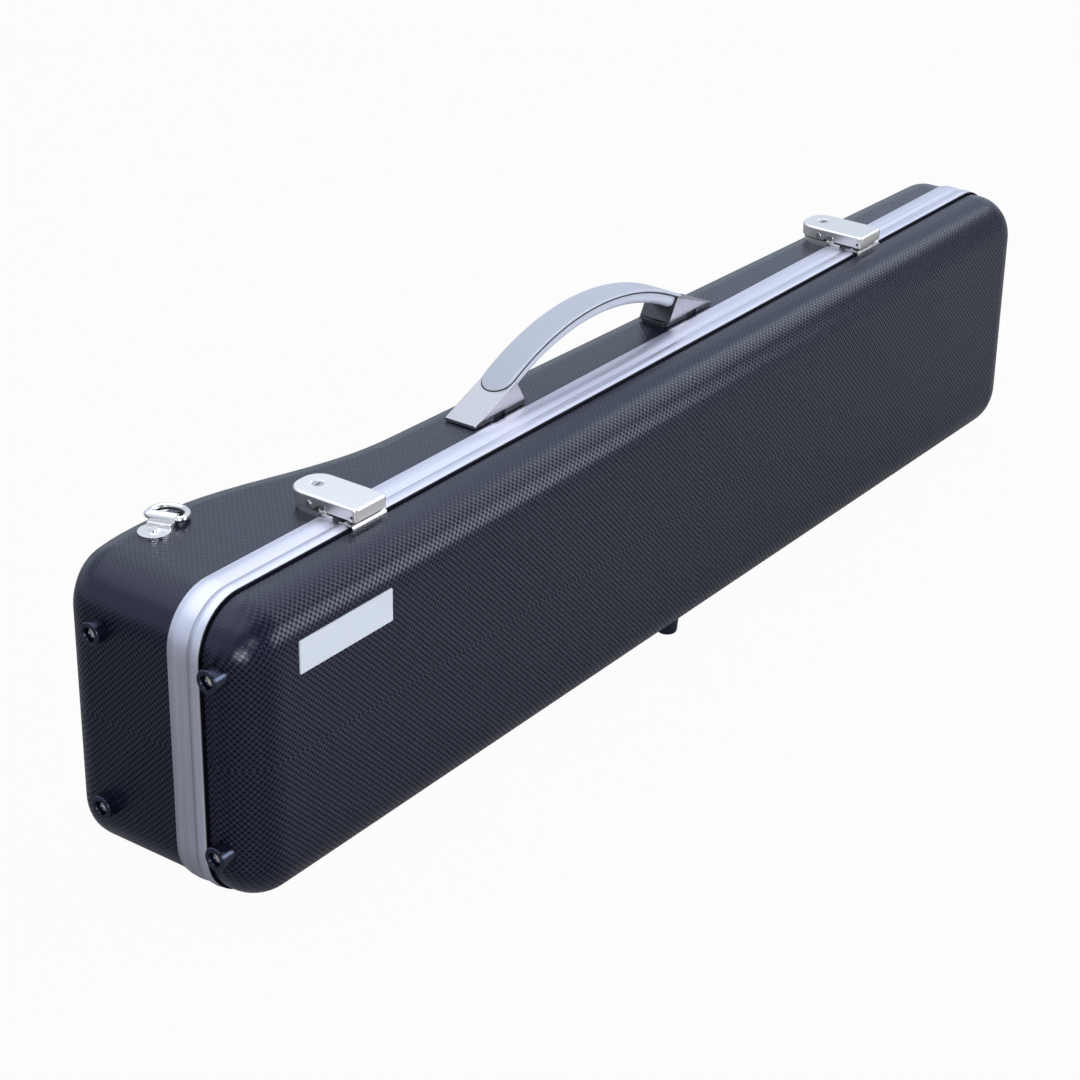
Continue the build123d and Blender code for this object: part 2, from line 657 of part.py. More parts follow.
    # keeper on the lid frame: a low ridge with a lip rolled over the band's front edge
    with BuildPart() as keeper:
        with BuildSketch(side_plane(x_latch - keeper_width / 2, 0, seat_clear)):
            low, high = keeper_crest
            bend = (-keeper_lip + keeper_bend, 0.3 * keeper_bend)
            inner_bend = (bend[0] + 0.9 * keeper_sheet, bend[1] - 0.7 * keeper_sheet)
            with BuildLine():
                Line((keeper_back, 0), (keeper_back, keeper_plate * 0.5))
                Line((keeper_back, keeper_plate * 0.5), (keeper_back - keeper_plate, keeper_plate))
                Line((keeper_back - keeper_plate, keeper_plate), (high, keeper_plate))
                ThreePointArc((high, keeper_plate), ((low + high) / 2, keeper_ridge), (low, keeper_plate))
                ThreePointArc((low, keeper_plate), bend, (-keeper_lip, -shell_inset))
                Line((-keeper_lip, -shell_inset), (-keeper_lip + keeper_sheet, -shell_inset))
                ThreePointArc((-keeper_lip + keeper_sheet, -shell_inset), inner_bend,
                              (keeper_foot, 0))
                Line((keeper_foot, 0), (keeper_back, 0))
            make_face()
        extrude(amount=keeper_width)
        fillet(keeper.edges().filter_by(Axis.Z).group_by(Axis.Y)[-1], keeper_ease)
    save(keeper, f"latch_keeper_{side_name}")

# Handle: two cast brackets, an arched grip core and its soft top pad
x_handle = x_left + handle_at
y_handle = y_front + handle_y
z_crown = z_body + handle_rise - pad_crown       # joint line between core and pad at the crown
z_arch = z_crown - arch_radius


def arch_z(u, drop=0.0):
    return z_arch + sqrt((arch_radius - drop) ** 2 - u ** 2)


def handle_plane(y):
    """Plane along the handle: local x from its centre, local y is height."""
    return Plane(origin=(x_handle, y, 0), x_dir=(1, 0, 0), z_dir=(0, -1, 0))


slot_to = handle_half - slot_inset
slot_from = slot_to - slot_length
mount_top = z_body + mount_height
foot_z = z_body + bracket_foot
hollow_to = handle_half - bracket_nose
mount_from = bracket_inner - mount_over
mount_to = hollow_to - mount_side
brackets = []
for side_name, side in (("left", -1), ("right", 1)):
    top_point = (side * bracket_top, arch_z(bracket_top))
    outer_point = (side * handle_half, foot_z + bracket_toe)
    with BuildPart() as bracket:
        with BuildSketch(handle_plane(y_handle + bracket_width / 2)):
            with BuildLine():
                Line(top_point, outer_point)
                Line(outer_point, (side * handle_half, foot_z))
                Line((side * handle_half, foot_z), (side * bracket_inner, foot_z))
                Line((side * bracket_inner, foot_z), top_point)
            make_face()
        extrude(amount=bracket_width)
        crest = bracket.faces().filter_by(lambda f: f.normal_at().Z > 0.7).edges()
        fillet(crest.filter_by(Axis.Y, reverse=True), bracket_round)
        # hollow over the mount
        with BuildSketch(handle_plane(y_handle + bracket_width / 2 - bracket_hollow / 2)):
            with Locations((side * (hollow_to + bracket_inner - 1) / 2, foot_z)):
                Rectangle(hollow_to - bracket_inner + 1, 2 * (mount_top - foot_z))
        extrude(amount=bracket_width - bracket_hollow, mode=Mode.SUBTRACT)
        # side slots near the outer foot
        slot_mid = side * (slot_from + slot_to) / 2
        for y_slot in (y_handle + bracket_width / 2, y_handle - bracket_width / 2 + slot_deep):
            with BuildSketch(handle_plane(y_slot)):
                with Locations((slot_mid, z_body + (slot_low + slot_high) / 2)):
                    Rectangle(slot_to - slot_from, slot_high - slot_low)
            extrude(amount=slot_deep, mode=Mode.SUBTRACT)
    save(bracket, f"handle_bracket_{side_name}")
    brackets.append(bracket.part)

    with BuildPart() as mount:
        with BuildSketch(Plane.XY.offset(z_body)) as seat:
            with Locations((x_handle + side * (mount_from + mount_to) / 2, y_handle)):
                Rectangle(mount_to - mount_from, bracket_width - bracket_hollow - 2 * mount_side)
            fillet(seat.vertices(), mount_corner)
        extrude(amount=mount_height - mount_side)
        fillet(mount.faces().sort_by(Axis.Z)[-1].edges(), mount_edge)
        with BuildSketch(handle_plane(y_handle + bracket_width)):
            with Locations((side * (slot_to - clip_width / 2), z_body + (slot_low + mount_height) / 2)):
                Rectangle(clip_width, mount_height - slot_low)
        extrude(amount=2 * bracket_width, mode=Mode.SUBTRACT)
    save(mount, f"handle_mount_{side_name}")

    with BuildPart() as clip:
        with BuildSketch(handle_plane(y_handle + bracket_width / 2)):
            with Locations((side * (slot_to - clip_width / 2), z_body + (slot_low + mount_height) / 2)):
                Rectangle(clip_width - 0.2, mount_height - slot_low - 0.2)
        extrude(amount=bracket_width)
    save(clip, f"handle_clip_{side_name}")

pad_half = bracket_top + pad_over
core_low = bracket_top
with BuildPart() as grip:
    with BuildSketch(handle_plane(y_handle + core_width / 2)):
        with BuildLine():
            core_high_z, core_low_z = arch_z(core_low), arch_z(core_low, grip_core)
            ThreePointArc((-core_low, core_high_z), (0, z_crown), (core_low, core_high_z))
            Line((core_low, core_high_z), (core_low, core_low_z))
            ThreePointArc((core_low, core_low_z), (0, z_crown - grip_core), (-core_low, core_low_z))
            Line((-core_low, core_low_z), (-core_low, core_high_z))
        make_face()
    extrude(amount=core_width)
    low_edges = grip.edges().filter_by(GeomType.CIRCLE).filter_by(
        lambda e: e.radius < arch_radius - grip_core / 2)
    fillet(low_edges, grip_round)
    high_edges = grip.edges().filter_by(GeomType.CIRCLE).filter_by(
        lambda e: abs(e.radius - arch_radius) < 0.01)
    fillet(high_edges, core_shoulder)
    for piece in brackets:
        add(piece, mode=Mode.SUBTRACT)
save(grip, "handle_grip")

with BuildPart() as pad:
    with BuildSketch(handle_plane(y_handle + grip_width / 2)):
        with BuildLine():
            slope_z = arch_z(bracket_top)
            fall = (slope_z - foot_z - bracket_toe) / (handle_half - bracket_top)
            end_z = slope_z - fall * pad_over
            Line((-pad_half, end_z), (-bracket_top, slope_z))
            ThreePointArc((-bracket_top, slope_z), (0, z_crown), (bracket_top, slope_z))
            Line((bracket_top, slope_z), (pad_half, end_z))
            Line((pad_half, end_z), (pad_half, end_z + pad_end))
            ThreePointArc((pad_half, end_z + pad_end), (0, z_crown + pad_crown),
                          (-pad_half, end_z + pad_end))
            Line((-pad_half, end_z + pad_end), (-pad_half, end_z))
        make_face()
    extrude(amount=grip_width)
    with BuildSketch(Plane.XY.offset(z_body)):
        with Locations((x_handle, y_handle)):
            SlotOverall(2 * pad_half, grip_width - 0.6)
    extrude(amount=2 * handle_rise, mode=Mode.INTERSECT)
    fillet(pad.edges().filter_by(lambda e: e.length > pad_half).group_by(Axis.Z)[-1], pad_round)
save(pad, "handle_pad")

with BuildPart() as backing:
    with BuildSketch(Plane.XY.offset(z_body - shell_wall)) as strip:
        with Locations((x_handle, y_handle)):
            Rectangle(2 * (handle_half + backing_over), backing_width)
        fillet(strip.vertices(), 4)
    extrude(amount=-backing_wall)
save(backing, "handle_backing")

# Carrying rings: a folded tab curled round the straight bar of a D shaped ring
curl_out = curl_bore + tab_sheet
droop = asin((curl_out - ring_wire - ring_float) / ring_long)


def ring_pair(seat, name):
    """Tab and ring; the seat plane has x towards the ring, y along its bar, z off the shell."""
    bar_x = tab_length + curl_out
    side_view = Plane(origin=seat.from_local_coords((0, -tab_width / 2, 0)),
                      x_dir=seat.x_dir, z_dir=-seat.y_dir)
    with BuildPart() as tab:
        with BuildSketch(seat) as sheet:
            Circle(tab_head)
            Polygon((0, -tab_neck / 2), (bar_x, -tab_width / 2), (bar_x, tab_width / 2),
                    (0, tab_neck / 2), align=None)
            fillet(sheet.vertices().sort_by_distance(seat.origin)[:2], tab_waist)
        extrude(amount=tab_sheet)
        # the strip's end comes back from the curl on top of itself
        fold_width = tab_neck + (tab_width - tab_neck) * tab_fold / bar_x
        with BuildSketch(seat.offset(tab_sheet)):
            Polygon((tab_fold, -fold_width / 2), (bar_x, -tab_width / 2), (bar_x, tab_width / 2),
                    (tab_fold, fold_width / 2), align=None)
        extrude(amount=tab_sheet)
        with BuildSketch(side_view):
            with Locations((bar_x, curl_out)):
                Circle(curl_out)
        extrude(amount=-tab_width)
        with BuildSketch(side_view):
            with Locations((bar_x, curl_out)):
                Circle(curl_bore)
        extrude(amount=-tab_width, mode=Mode.SUBTRACT)
        with BuildSketch(seat.offset(tab_sheet)):
            Circle(rivet_radius)
        extrude(amount=rivet_high, taper=28)
    save(tab, f"ring_tab_{name}")

    # the ring: a straight bar in the curl and a rounded loop that rests just off the shell
    flat = Plane(origin=seat.from_local_coords((bar_x, 0, curl_out)),
                 x_dir=seat.x_dir * cos(droop) - seat.z_dir * sin(droop),
                 z_dir=seat.z_dir * cos(droop) + seat.x_dir * sin(droop))
    half_wide = ring_wide / 2 - ring_wire
    far = ring_long - 2 * ring_wire
    corners = ((0, half_wide, ring_small), (far, half_wide, ring_corner),
               (far, -half_wide, ring_corner), (0, -half_wide, ring_small))
    into = ((0, 1), (1, 0), (0, -1), (-1, 0))
    with BuildPart() as ring:
        with BuildLine() as loop:
            last = (0, 0)
            for (cx, cy, radius), before, after in zip(corners, into, into[1:] + into[:1]):
                first = (cx - radius * before[0], cy - radius * before[1])
                second = (cx + radius * after[0], cy + radius * after[1])
                slack = radius * (1 - sqrt(0.5))
                middle = (cx - slack * (before[0] - after[0]), cy - slack * (before[1] - after[1]))
                first, middle, second = [flat.from_local_coords((*q, 0)) for q in (first, middle, second)]
                Line(flat.from_local_coords((*last, 0)) if last == (0, 0) else last, first)
                ThreePointArc(first, middle, second)
                last = second
            Line(last, flat.from_local_coords((0, 0, 0)))
        with BuildSketch(Plane(origin=flat.origin, z_dir=flat.y_dir)):
            Circle(ring_wire)
        sweep(path=loop.wire())
    save(ring, f"carry_ring_{name}")


yaw = radians(ring_yaw)
upper_seat = Plane(origin=(x_left + ring_u, y_front + ring_y, z_body),
                   x_dir=(cos(yaw), sin(yaw), 0), z_dir=(0, 0, 1))
end_seat = Plane(origin=(x_right - shell_inset + seat_raise, y_front + end_ring_y, z_band + end_ring_z),
                 x_dir=(0, 0, -1), z_dir=(1, 0, 0))
for seat, name in ((upper_seat, "upper"), (end_seat, "end")):
    ring_pair(seat, name)

# The end ring's tab overhangs the body's rounded edge, so it stands on a moulded seat
with BuildPart() as ring_seat:
    with BuildSketch(end_seat):
        Circle(tab_head)
        with Locations((tab_length / 2, 0)):
            Rectangle(tab_length, tab_width)
    extrude(amount=-seat_inside)
    add(body_form(groove_floor + groove_clear, shell_inset, 0, body_round), mode=Mode.SUBTRACT)
save(ring_seat, "ring_seat_end")

# Feet: rubber buttons with a sunk screw on the wide end
lid_outer = lid_form(lid_groove_floor - groove_clear, shell_inset, y_face, lid_round)
body_outer = body_form(groove_floor + groove_clear, shell_inset, 0, body_round)
for part_name, at_y, outer in (("body", end_foot_body_y, body_outer), ("lid", end_foot_lid_y, lid_outer)):
    for level, at_z in zip(("lower", "upper"), end_foot_z):
        tip = Plane(origin=(x_left - end_foot_out, y_front + at_y, z_band + at_z),
                    x_dir=(0, 1, 0), z_dir=(-1, 0, 0))
        with BuildPart() as foot:
            with BuildSketch(tip):
                Circle(end_foot_radius)
            extrude(amount=-(end_foot_out + shell_inset + foot_sink))
            fillet(foot.faces().sort_by(Axis.X)[0].edges(), end_foot_round)
            with BuildSketch(tip):
                Circle(end_foot_bore)
            extrude(amount=-end_foot_recess, mode=Mode.SUBTRACT)
            with BuildSketch(tip):
                Circle(screw_shaft)
            extrude(amount=-(end_foot_out + shell_inset + foot_sink), mode=Mode.SUBTRACT)
            add(outer, mode=Mode.SUBTRACT)
        save(foot, f"end_foot_{part_name}_{level}")
        with BuildPart() as screw:
            with BuildSketch(tip.offset(-end_foot_recess)):
                Circle(screw_head)
            extrude(amount=1.6, taper=20)
            with BuildSketch(tip.offset(-end_foot_recess + 1.6)):
                Rectangle(3.2, 0.8)
                Rectangle(0.8, 3.2)
            extrude(amount=-0.9, mode=Mode.SUBTRACT)
            with BuildSketch(tip.offset(-end_foot_recess)):
                Circle(screw_shaft)
            extrude(amount=-(end_foot_out + shell_inset - end_foot_recess))
            add(outer, mode=Mode.SUBTRACT)
        save(screw, f"end_screw_{part_name}_{level}")

spine_feet = (("lid", x_left + lid_foot_from_wide, y_front + lid_foot_y, lid_outer),
              ("body_wide", x_left + wide_foot_from_end, y_front + wide_foot_y, body_outer),
              ("body_neck", x_right - neck_foot_from_end, y_front + neck_foot_y, body_outer))
for foot_name, at_x, at_y, outer in spine_feet:
    with BuildPart() as foot:
        with BuildSketch(Plane.XY):
            with Locations((at_x, at_y)):
                Circle(spine_foot_tip)
        with BuildSketch(Plane.XY.offset(spine_foot_height + shell_inset)):
            with Locations((at_x, at_y)):
                Circle(spine_foot_radius)
        loft()
        fillet(foot.faces().sort_by(Axis.Z)[0].edges(), spine_foot_round)
        with BuildSketch(Plane.XY.offset(spine_foot_height + shell_inset)):
            with Locations((at_x, at_y)):
                Circle(spine_foot_radius)
        extrude(amount=foot_sink)
        add(outer, mode=Mode.SUBTRACT)
    save(foot, f"spine_foot_{foot_name}")

# Name plate, bare
with BuildPart() as name_plate:
    with BuildSketch(Plane(origin=(x_left + plate_from + plate_length / 2, y_face,
                                   z_band + plate_low + plate_height / 2),
                           x_dir=(1, 0, 0), z_dir=(0, -1, 0))):
        RectangleRounded(plate_length, plate_height, 0.8)
    extrude(amount=plate_thick)
save(name_plate, "name_plate")
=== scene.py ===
"""Looks of a hard erhu case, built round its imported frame.

Every length is in metres and every piece stands where the frame says.
"""
import math

import bmesh
import bpy
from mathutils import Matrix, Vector


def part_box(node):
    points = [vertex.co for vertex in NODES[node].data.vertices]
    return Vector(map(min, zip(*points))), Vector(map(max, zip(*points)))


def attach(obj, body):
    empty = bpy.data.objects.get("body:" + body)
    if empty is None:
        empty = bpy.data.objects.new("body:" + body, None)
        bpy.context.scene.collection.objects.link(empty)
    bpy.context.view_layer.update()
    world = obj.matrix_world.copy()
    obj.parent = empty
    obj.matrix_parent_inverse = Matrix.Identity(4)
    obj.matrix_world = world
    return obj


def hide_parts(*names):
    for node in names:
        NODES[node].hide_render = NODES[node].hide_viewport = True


bl_info = {
    "name": "Erhu Case",
    "version": (1, 0, 0),
    "blender": (4, 5, 0),
    "location": "3D Viewport > Sidebar > Case",
    "description": "Dresses the frame of a hard erhu case with its finishes, velvet and trim",
    "category": "Object",
}

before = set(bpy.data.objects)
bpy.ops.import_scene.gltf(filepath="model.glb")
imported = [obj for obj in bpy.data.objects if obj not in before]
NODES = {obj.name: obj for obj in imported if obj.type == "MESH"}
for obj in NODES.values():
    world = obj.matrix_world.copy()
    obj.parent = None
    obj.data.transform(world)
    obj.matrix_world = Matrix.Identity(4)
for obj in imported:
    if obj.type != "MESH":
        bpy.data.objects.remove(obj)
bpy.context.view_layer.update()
BODY = "case_body"
LID = "case_lid"
SIDES = ("left", "right")
FOAM_NODES = ("foam_resonator", "foam_neck", "foam_pocket", "foam_pegs")


# Small helpers for node trees


def add_node(tree, kind, **values):
    """New node of a kind, with its settings, in a tree."""
    node = tree.nodes.new(kind)
    for name, value in values.items():
        setattr(node, name, value)
    return node


def plug(tree, source, target):
    """Joins a socket to a socket, or sets the target's value."""
    if isinstance(source, bpy.types.NodeSocket):
        tree.links.new(source, target)
    else:
        target.default_value = source


def maths(tree, operation, *values, clamp=False):
    """Math node's result."""
    node = add_node(tree, "ShaderNodeMath", operation=operation, use_clamp=clamp)
    for value, socket in zip(values, node.inputs):
        plug(tree, value, socket)
    return node.outputs[0]


def remap(tree, value, low, high, new_low, new_high):
    """Value moved from one range to another and held inside it."""
    node = add_node(tree, "ShaderNodeMapRange")
    for index, entry in enumerate((value, low, high, new_low, new_high)):
        plug(tree, entry, node.inputs[index])
    return node.outputs[0]


def blend_colour(tree, factor, first, second):
    """Colour mixed from two by a factor."""
    node = add_node(tree, "ShaderNodeMix", data_type="RGBA")
    plug(tree, factor, node.inputs["Factor"])
    plug(tree, first, node.inputs[6])
    plug(tree, second, node.inputs[7])
    return node.outputs[2]


def blend_value(tree, factor, first, second):
    """Number mixed from two by a factor."""
    node = add_node(tree, "ShaderNodeMix", data_type="FLOAT")
    plug(tree, factor, node.inputs["Factor"])
    plug(tree, first, node.inputs[2])
    plug(tree, second, node.inputs[3])
    return node.outputs[0]


def vector_maths(tree, operation, first, second):
    """Vector Math node's outputs."""
    node = add_node(tree, "ShaderNodeVectorMath", operation=operation)
    plug(tree, first, node.inputs[0])
    plug(tree, second, node.inputs[1])
    return node.outputs


def parted(tree, vector):
    """X, Y and Z of a vector."""
    node = add_node(tree, "ShaderNodeSeparateXYZ")
    plug(tree, vector, node.inputs[0])
    return node.outputs


def noise(tree, vector, scale, detail=2.0, roughness=0.5):
    """Noise texture's value at a vector."""
    node = add_node(tree, "ShaderNodeTexNoise")
    plug(tree, vector, node.inputs["Vector"])
    plug(tree, scale, node.inputs["Scale"])
    node.inputs["Detail"].default_value = detail
    node.inputs["Roughness"].default_value = roughness
    return node.outputs["Fac"]


def object_place(tree):
    """Object coordinates."""
    return add_node(tree, "ShaderNodeTexCoord").outputs["Object"]


def light_path(tree):
    """Light Path's outputs, and 1 for what the camera sees, also through glass."""
    light = add_node(tree, "ShaderNodeLightPath").outputs
    return light, maths(tree, "MAXIMUM", light["Is Camera Ray"], light["Is Transmission Ray"])


def new_group(name, inputs, outputs):
    """Shader node group with named sockets: its tree, inputs and outputs."""
    tree = bpy.data.node_groups.new(name, "ShaderNodeTree")
    for label, kind, value in inputs:
        socket = tree.interface.new_socket(label, in_out="INPUT", socket_type=kind)
        socket.default_value = value
    for label, kind in outputs:
        tree.interface.new_socket(label, in_out="OUTPUT", socket_type=kind)
    entry = add_node(tree, "NodeGroupInput")
    leave = add_node(tree, "NodeGroupOutput")
    return tree, entry.outputs, leave.inputs


def use_group(tree, group, **values):
    """Group node placed in a material, with its own values; labels use _ for a space."""
    node = add_node(tree, "ShaderNodeGroup", node_tree=group)
    for label, value in values.items():
        plug(tree, value, node.inputs[label.replace("_", " ")])
    return node.outputs


# Shader groups


def grain_group():
    """Fine grain of moulded plastic, rubber or cast metal, with a slow cloud of handling."""
    tree, given, made = new_group(
        "surface grain",
        (("Grain Scale", "NodeSocketFloat", 900.0), ("Cloud Scale", "NodeSocketFloat", 14.0),
         ("Roughness", "NodeSocketFloat", 0.4), ("Roughness Spread", "NodeSocketFloat", 0.06)),
        (("Height", "NodeSocketFloat"), ("Roughness", "NodeSocketFloat"), ("Cloud", "NodeSocketFloat")))
    place = object_place(tree)
    plug(tree, noise(tree, place, given["Grain Scale"], detail=3.0, roughness=0.6), made["Height"])
    cloud = noise(tree, place, given["Cloud Scale"], detail=4.0, roughness=0.55)
    spread = maths(tree, "MULTIPLY", maths(tree, "SUBTRACT", cloud, 0.5), given["Roughness Spread"])
    plug(tree, maths(tree, "ADD", given["Roughness"], spread, clamp=True), made["Roughness"])
    plug(tree, cloud, made["Cloud"])
    return tree


def brushed_group():
    """Drawn or brushed metal: fine streaks along one direction and faint broad bands."""
    tree, given, made = new_group(
        "brushed metal",
        (("Along", "NodeSocketVector", (6.0, 900.0, 900.0)), ("Roughness", "NodeSocketFloat", 0.3),
         ("Streak", "NodeSocketFloat", 0.12), ("Broad", "NodeSocketFloat", 0.3)),
        (("Height", "NodeSocketFloat"), ("Roughness", "NodeSocketFloat"),
         ("Streaks", "NodeSocketFloat")))
    stretched = vector_maths(tree, "MULTIPLY", object_place(tree), given["Along"])[0]
    fine = noise(tree, stretched, 1.0, detail=3.0, roughness=0.7)
    wide = noise(tree, stretched, 0.4)
    streaks = remap(tree, blend_value(tree, given["Broad"], fine, wide), 0.3, 0.7, 0.0, 1.0)
    plug(tree, fine, made["Height"])
    plug(tree, streaks, made["Streaks"])
    swing = maths(tree, "MULTIPLY", maths(tree, "SUBTRACT", streaks, 0.5), given["Streak"])
    plug(tree, maths(tree, "ADD", given["Roughness"], swing, clamp=True), made["Roughness"])
    return tree


# Pressed lattice
WALL_TURN = 0.7  # a surface of the deep shell that faces the back less than this is wall
LEVEL_FROM, LEVEL_FULL, LEVEL_WASH = 0.72, 0.93, 0.72  # washed out studs on the top and the bottom
CORNER_FROM, CORNER_FULL, CORNER_WASH = 0.02, 0.3, 0.8  # and on the corners of the soft edge
WAVE_REACH = 0.75  # the waves are cut off here, which makes studs and pits flat
STUD_FROM, STUD_FULL = 0.1, 0.8  # heights between which the pits' painted shade passes into a stud's colour


def pressed_group():
    """Staggered lattice of small pressed studs that wraps a shell's face, soft edge and walls.

    On the face it follows the sheet's own length along and up, round the soft edge as well.
    On the walls it follows the way round the shell and the depth. Deep is 1 for a shell whose
    face isn't flat, where the lattice changes over by the surface's direction instead.
    """
    tree, given, made = new_group(
        "pressed lattice",
        (("Pitch", "NodeSocketFloat", 0.004), ("Centre", "NodeSocketVector", (0.0, 0.0, 0.1)),
         ("Half Length", "NodeSocketFloat", 0.44), ("Half Height", "NodeSocketFloat", 0.09),
         ("Soft Edge", "NodeSocketFloat", 0.028), ("Face", "NodeSocketFloat", -0.07),
         ("Deep", "NodeSocketFloat", 0.0)),
        (("Height", "NodeSocketFloat"), ("Studs", "NodeSocketFloat")))
    coordinates = add_node(tree, "ShaderNodeTexCoord").outputs
    place = parted(tree, vector_maths(tree, "SUBTRACT", coordinates["Object"], given["Centre"])[0])
    facing = parted(tree, coordinates["Normal"])
    run = maths(tree, "ABSOLUTE", place[0])
    climb = maths(tree, "ABSOLUTE", place[2])
    radius = given["Soft Edge"]

    def turned(distance, half):
        """How far round the soft edge, from 0 on the flat to 1 on the wall."""
        over = maths(tree, "SUBTRACT", distance, maths(tree, "SUBTRACT", half, radius))
        return maths(tree, "DIVIDE", over, radius, clamp=True)

    def unrolled(distance, half):
        """Length along the sheet, counted back from the end of the soft edge."""
        flat = maths(tree, "SUBTRACT", half, radius)
        held = turned(distance, half)
        arc = maths(tree, "MULTIPLY", maths(tree, "ARCSINE", held), radius)
        before = maths(tree, "SUBTRACT", maths(tree, "MINIMUM", distance, flat), flat)
        quarter = maths(tree, "MULTIPLY", radius, math.pi / 2)
        return maths(tree, "SUBTRACT", maths(tree, "ADD", before, arc), quarter)

    along = unrolled(run, given["Half Length"])
    up = unrolled(climb, given["Half Height"])
    y = maths(tree, "SUBTRACT", parted(tree, coordinates["Object"])[1], given["Face"])
    depth = maths(tree, "SUBTRACT", y, radius)
    ends = maths(tree, "ADD", given["Half Length"], maths(tree, "MULTIPLY", radius, math.pi / 2 - 1))
    around = maths(tree, "ADD", maths(tree, "SUBTRACT", climb, run),
                   maths(tree, "SUBTRACT", ends, given["Half Height"]))
    turn = maths(tree, "DIVIDE", 2 * math.pi, given["Pitch"])

    def lattice(first, second):
        """Product of two waves."""
        waves = [maths(tree, "COSINE", maths(tree, "MULTIPLY", part, turn))
                 for part in (first, second)]
        return maths(tree, "MULTIPLY", *waves)

    by_depth = maths(tree, "GREATER_THAN", depth, 0.0)
    by_facing = maths(tree, "LESS_THAN", maths(tree, "ABSOLUTE", facing[1]), WALL_TURN)
    wall = blend_value(tree, given["Deep"], by_depth, by_facing)
    waves = blend_value(tree, wall, lattice(along, up), lattice(depth, around))
    # where the sheet is drawn over the top, the bottom and the corners, the studs wash out
    level = remap(tree, maths(tree, "ABSOLUTE", facing[2]), LEVEL_FROM, LEVEL_FULL, 0.0, LEVEL_WASH)
    corner = remap(tree, maths(tree, "MULTIPLY", turned(run, given["Half Length"]),
                               turned(climb, given["Half Height"])),
                   CORNER_FROM, CORNER_FULL, 0.0, CORNER_WASH)
    drawn = maths(tree, "MAXIMUM", level, corner)
    height = remap(tree, waves, -WAVE_REACH, WAVE_REACH, 0.0, 1.0)
    kept = maths(tree, "SUBTRACT", 1.0, drawn)
    plug(tree, maths(tree, "MULTIPLY", height, kept), made["Height"])
    studs = remap(tree, height, STUD_FROM, STUD_FULL, 0.0, 1.0)
    plug(tree, maths(tree, "MAXIMUM", studs, drawn), made["Studs"])
    return tree


def pile_group():
    """Short velvet pile: matted patches and a soft nap."""
    tree, given, made = new_group(
        "velvet pile",
        (("Nap Scale", "NodeSocketFloat", 1400.0), ("Patch Scale", "NodeSocketFloat", 26.0)),
        (("Height", "NodeSocketFloat"), ("Patches", "NodeSocketFloat")))
    place = object_place(tree)
    plug(tree, noise(tree, place, given["Nap Scale"], roughness=0.7), made["Height"])
    plug(tree, noise(tree, place, given["Patch Scale"], detail=4.0, roughness=0.6), made["Patches"])
    return tree


class Groups:
    """The shader groups, built once."""
    grain = None
    brushed = None
    pressed = None
    pile = None

    @classmethod
    def build(cls):
        """Makes them at the first call."""
        if cls.grain is None:
            cls.grain = grain_group()
            cls.brushed = brushed_group()
            cls.pressed = pressed_group()
            cls.pile = pile_group()


# Materials

SHELL_GRAIN = 0.02  # height of the shells' grain as a share of a stud's
RIM_SHADOW_DARK = 0.06  # what is left of a metal's colour in its painted shadow lines
CAST_GRAIN = {"Grain_Scale": 1300.0, "Cloud_Scale": 22.0, "Roughness_Spread": 0.12}
PLATED = {"streak": 0.04, "along": (2200.0, 2200.0, 2200.0), "depth": 0.000004, "broad": 0.0,
          "swing": 0.03}
MOULDED_BLACK = (0.02, 0.02, 0.023)


def start_material(name, **plain):
    """New material with a Principled shader and its plain values; labels use _ for a space."""
    Groups.build()
    material = bpy.data.materials.new(name)
    material.use_nodes = True
    tree = material.node_tree
    shader = tree.nodes["Principled BSDF"]
    for label, value in plain.items():
        shader.inputs[label.replace("_", " ")].default_value = value
    return material, tree, shader


def bump(tree, shader, height, strength, depth):
    """Bump from a height, into the shader's normal."""
    node = add_node(tree, "ShaderNodeBump")
    node.inputs["Strength"].default_value = strength
    node.inputs["Distance"].default_value = depth
    plug(tree, height, node.inputs["Height"])
    plug(tree, node.outputs[0], shader.inputs["Normal"])


def opaque(colour):
    """Colour with full alpha."""
    return (*colour, 1.0)


def tinted(colour, share):
    """Colour made lighter or darker by a share."""
    return tuple(part * share for part in colour)


def shell_material(name, node, settings, deep):
    """Black shell pressed all over with small studs; deep is 1 where its face isn't flat."""
    material, tree, shader = start_material(name, Specular_IOR_Level=settings.shell_gloss,
                                            Specular_Tint=opaque(settings.shell_tint),
                                            Coat_Roughness=settings.coat_roughness)
    low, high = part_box(node)
    centre = (low + high) / 2
    lattice = use_group(tree, Groups.pressed, Pitch=settings.stud_pitch, Centre=centre,
                        Half_Length=(high[0] - low[0]) / 2, Half_Height=(high[2] - low[2]) / 2,
                        Soft_Edge=settings.soft_edge, Face=low[1], Deep=deep)
    grain = use_group(tree, Groups.grain, Grain_Scale=1600.0, Cloud_Scale=9.0,
                      Roughness=settings.shell_roughness, Roughness_Spread=0.08)
    # painted shade: the pits are coloured darker than the studs, for the shade in the hollows
    colour = blend_colour(tree, lattice["Studs"], opaque(settings.pit_shade_colour),
                          opaque(settings.stud_colour))
    coat = maths(tree, "MULTIPLY", lattice["Studs"], settings.stud_coat)
    plug(tree, colour, shader.inputs["Base Color"])
    plug(tree, grain["Roughness"], shader.inputs["Roughness"])
    plug(tree, coat, shader.inputs["Coat Weight"])
    height = maths(tree, "ADD", lattice["Height"],
                   maths(tree, "MULTIPLY", grain["Height"], SHELL_GRAIN))
    bump(tree, shader, height, settings.stud_strength, settings.stud_depth)
    return material


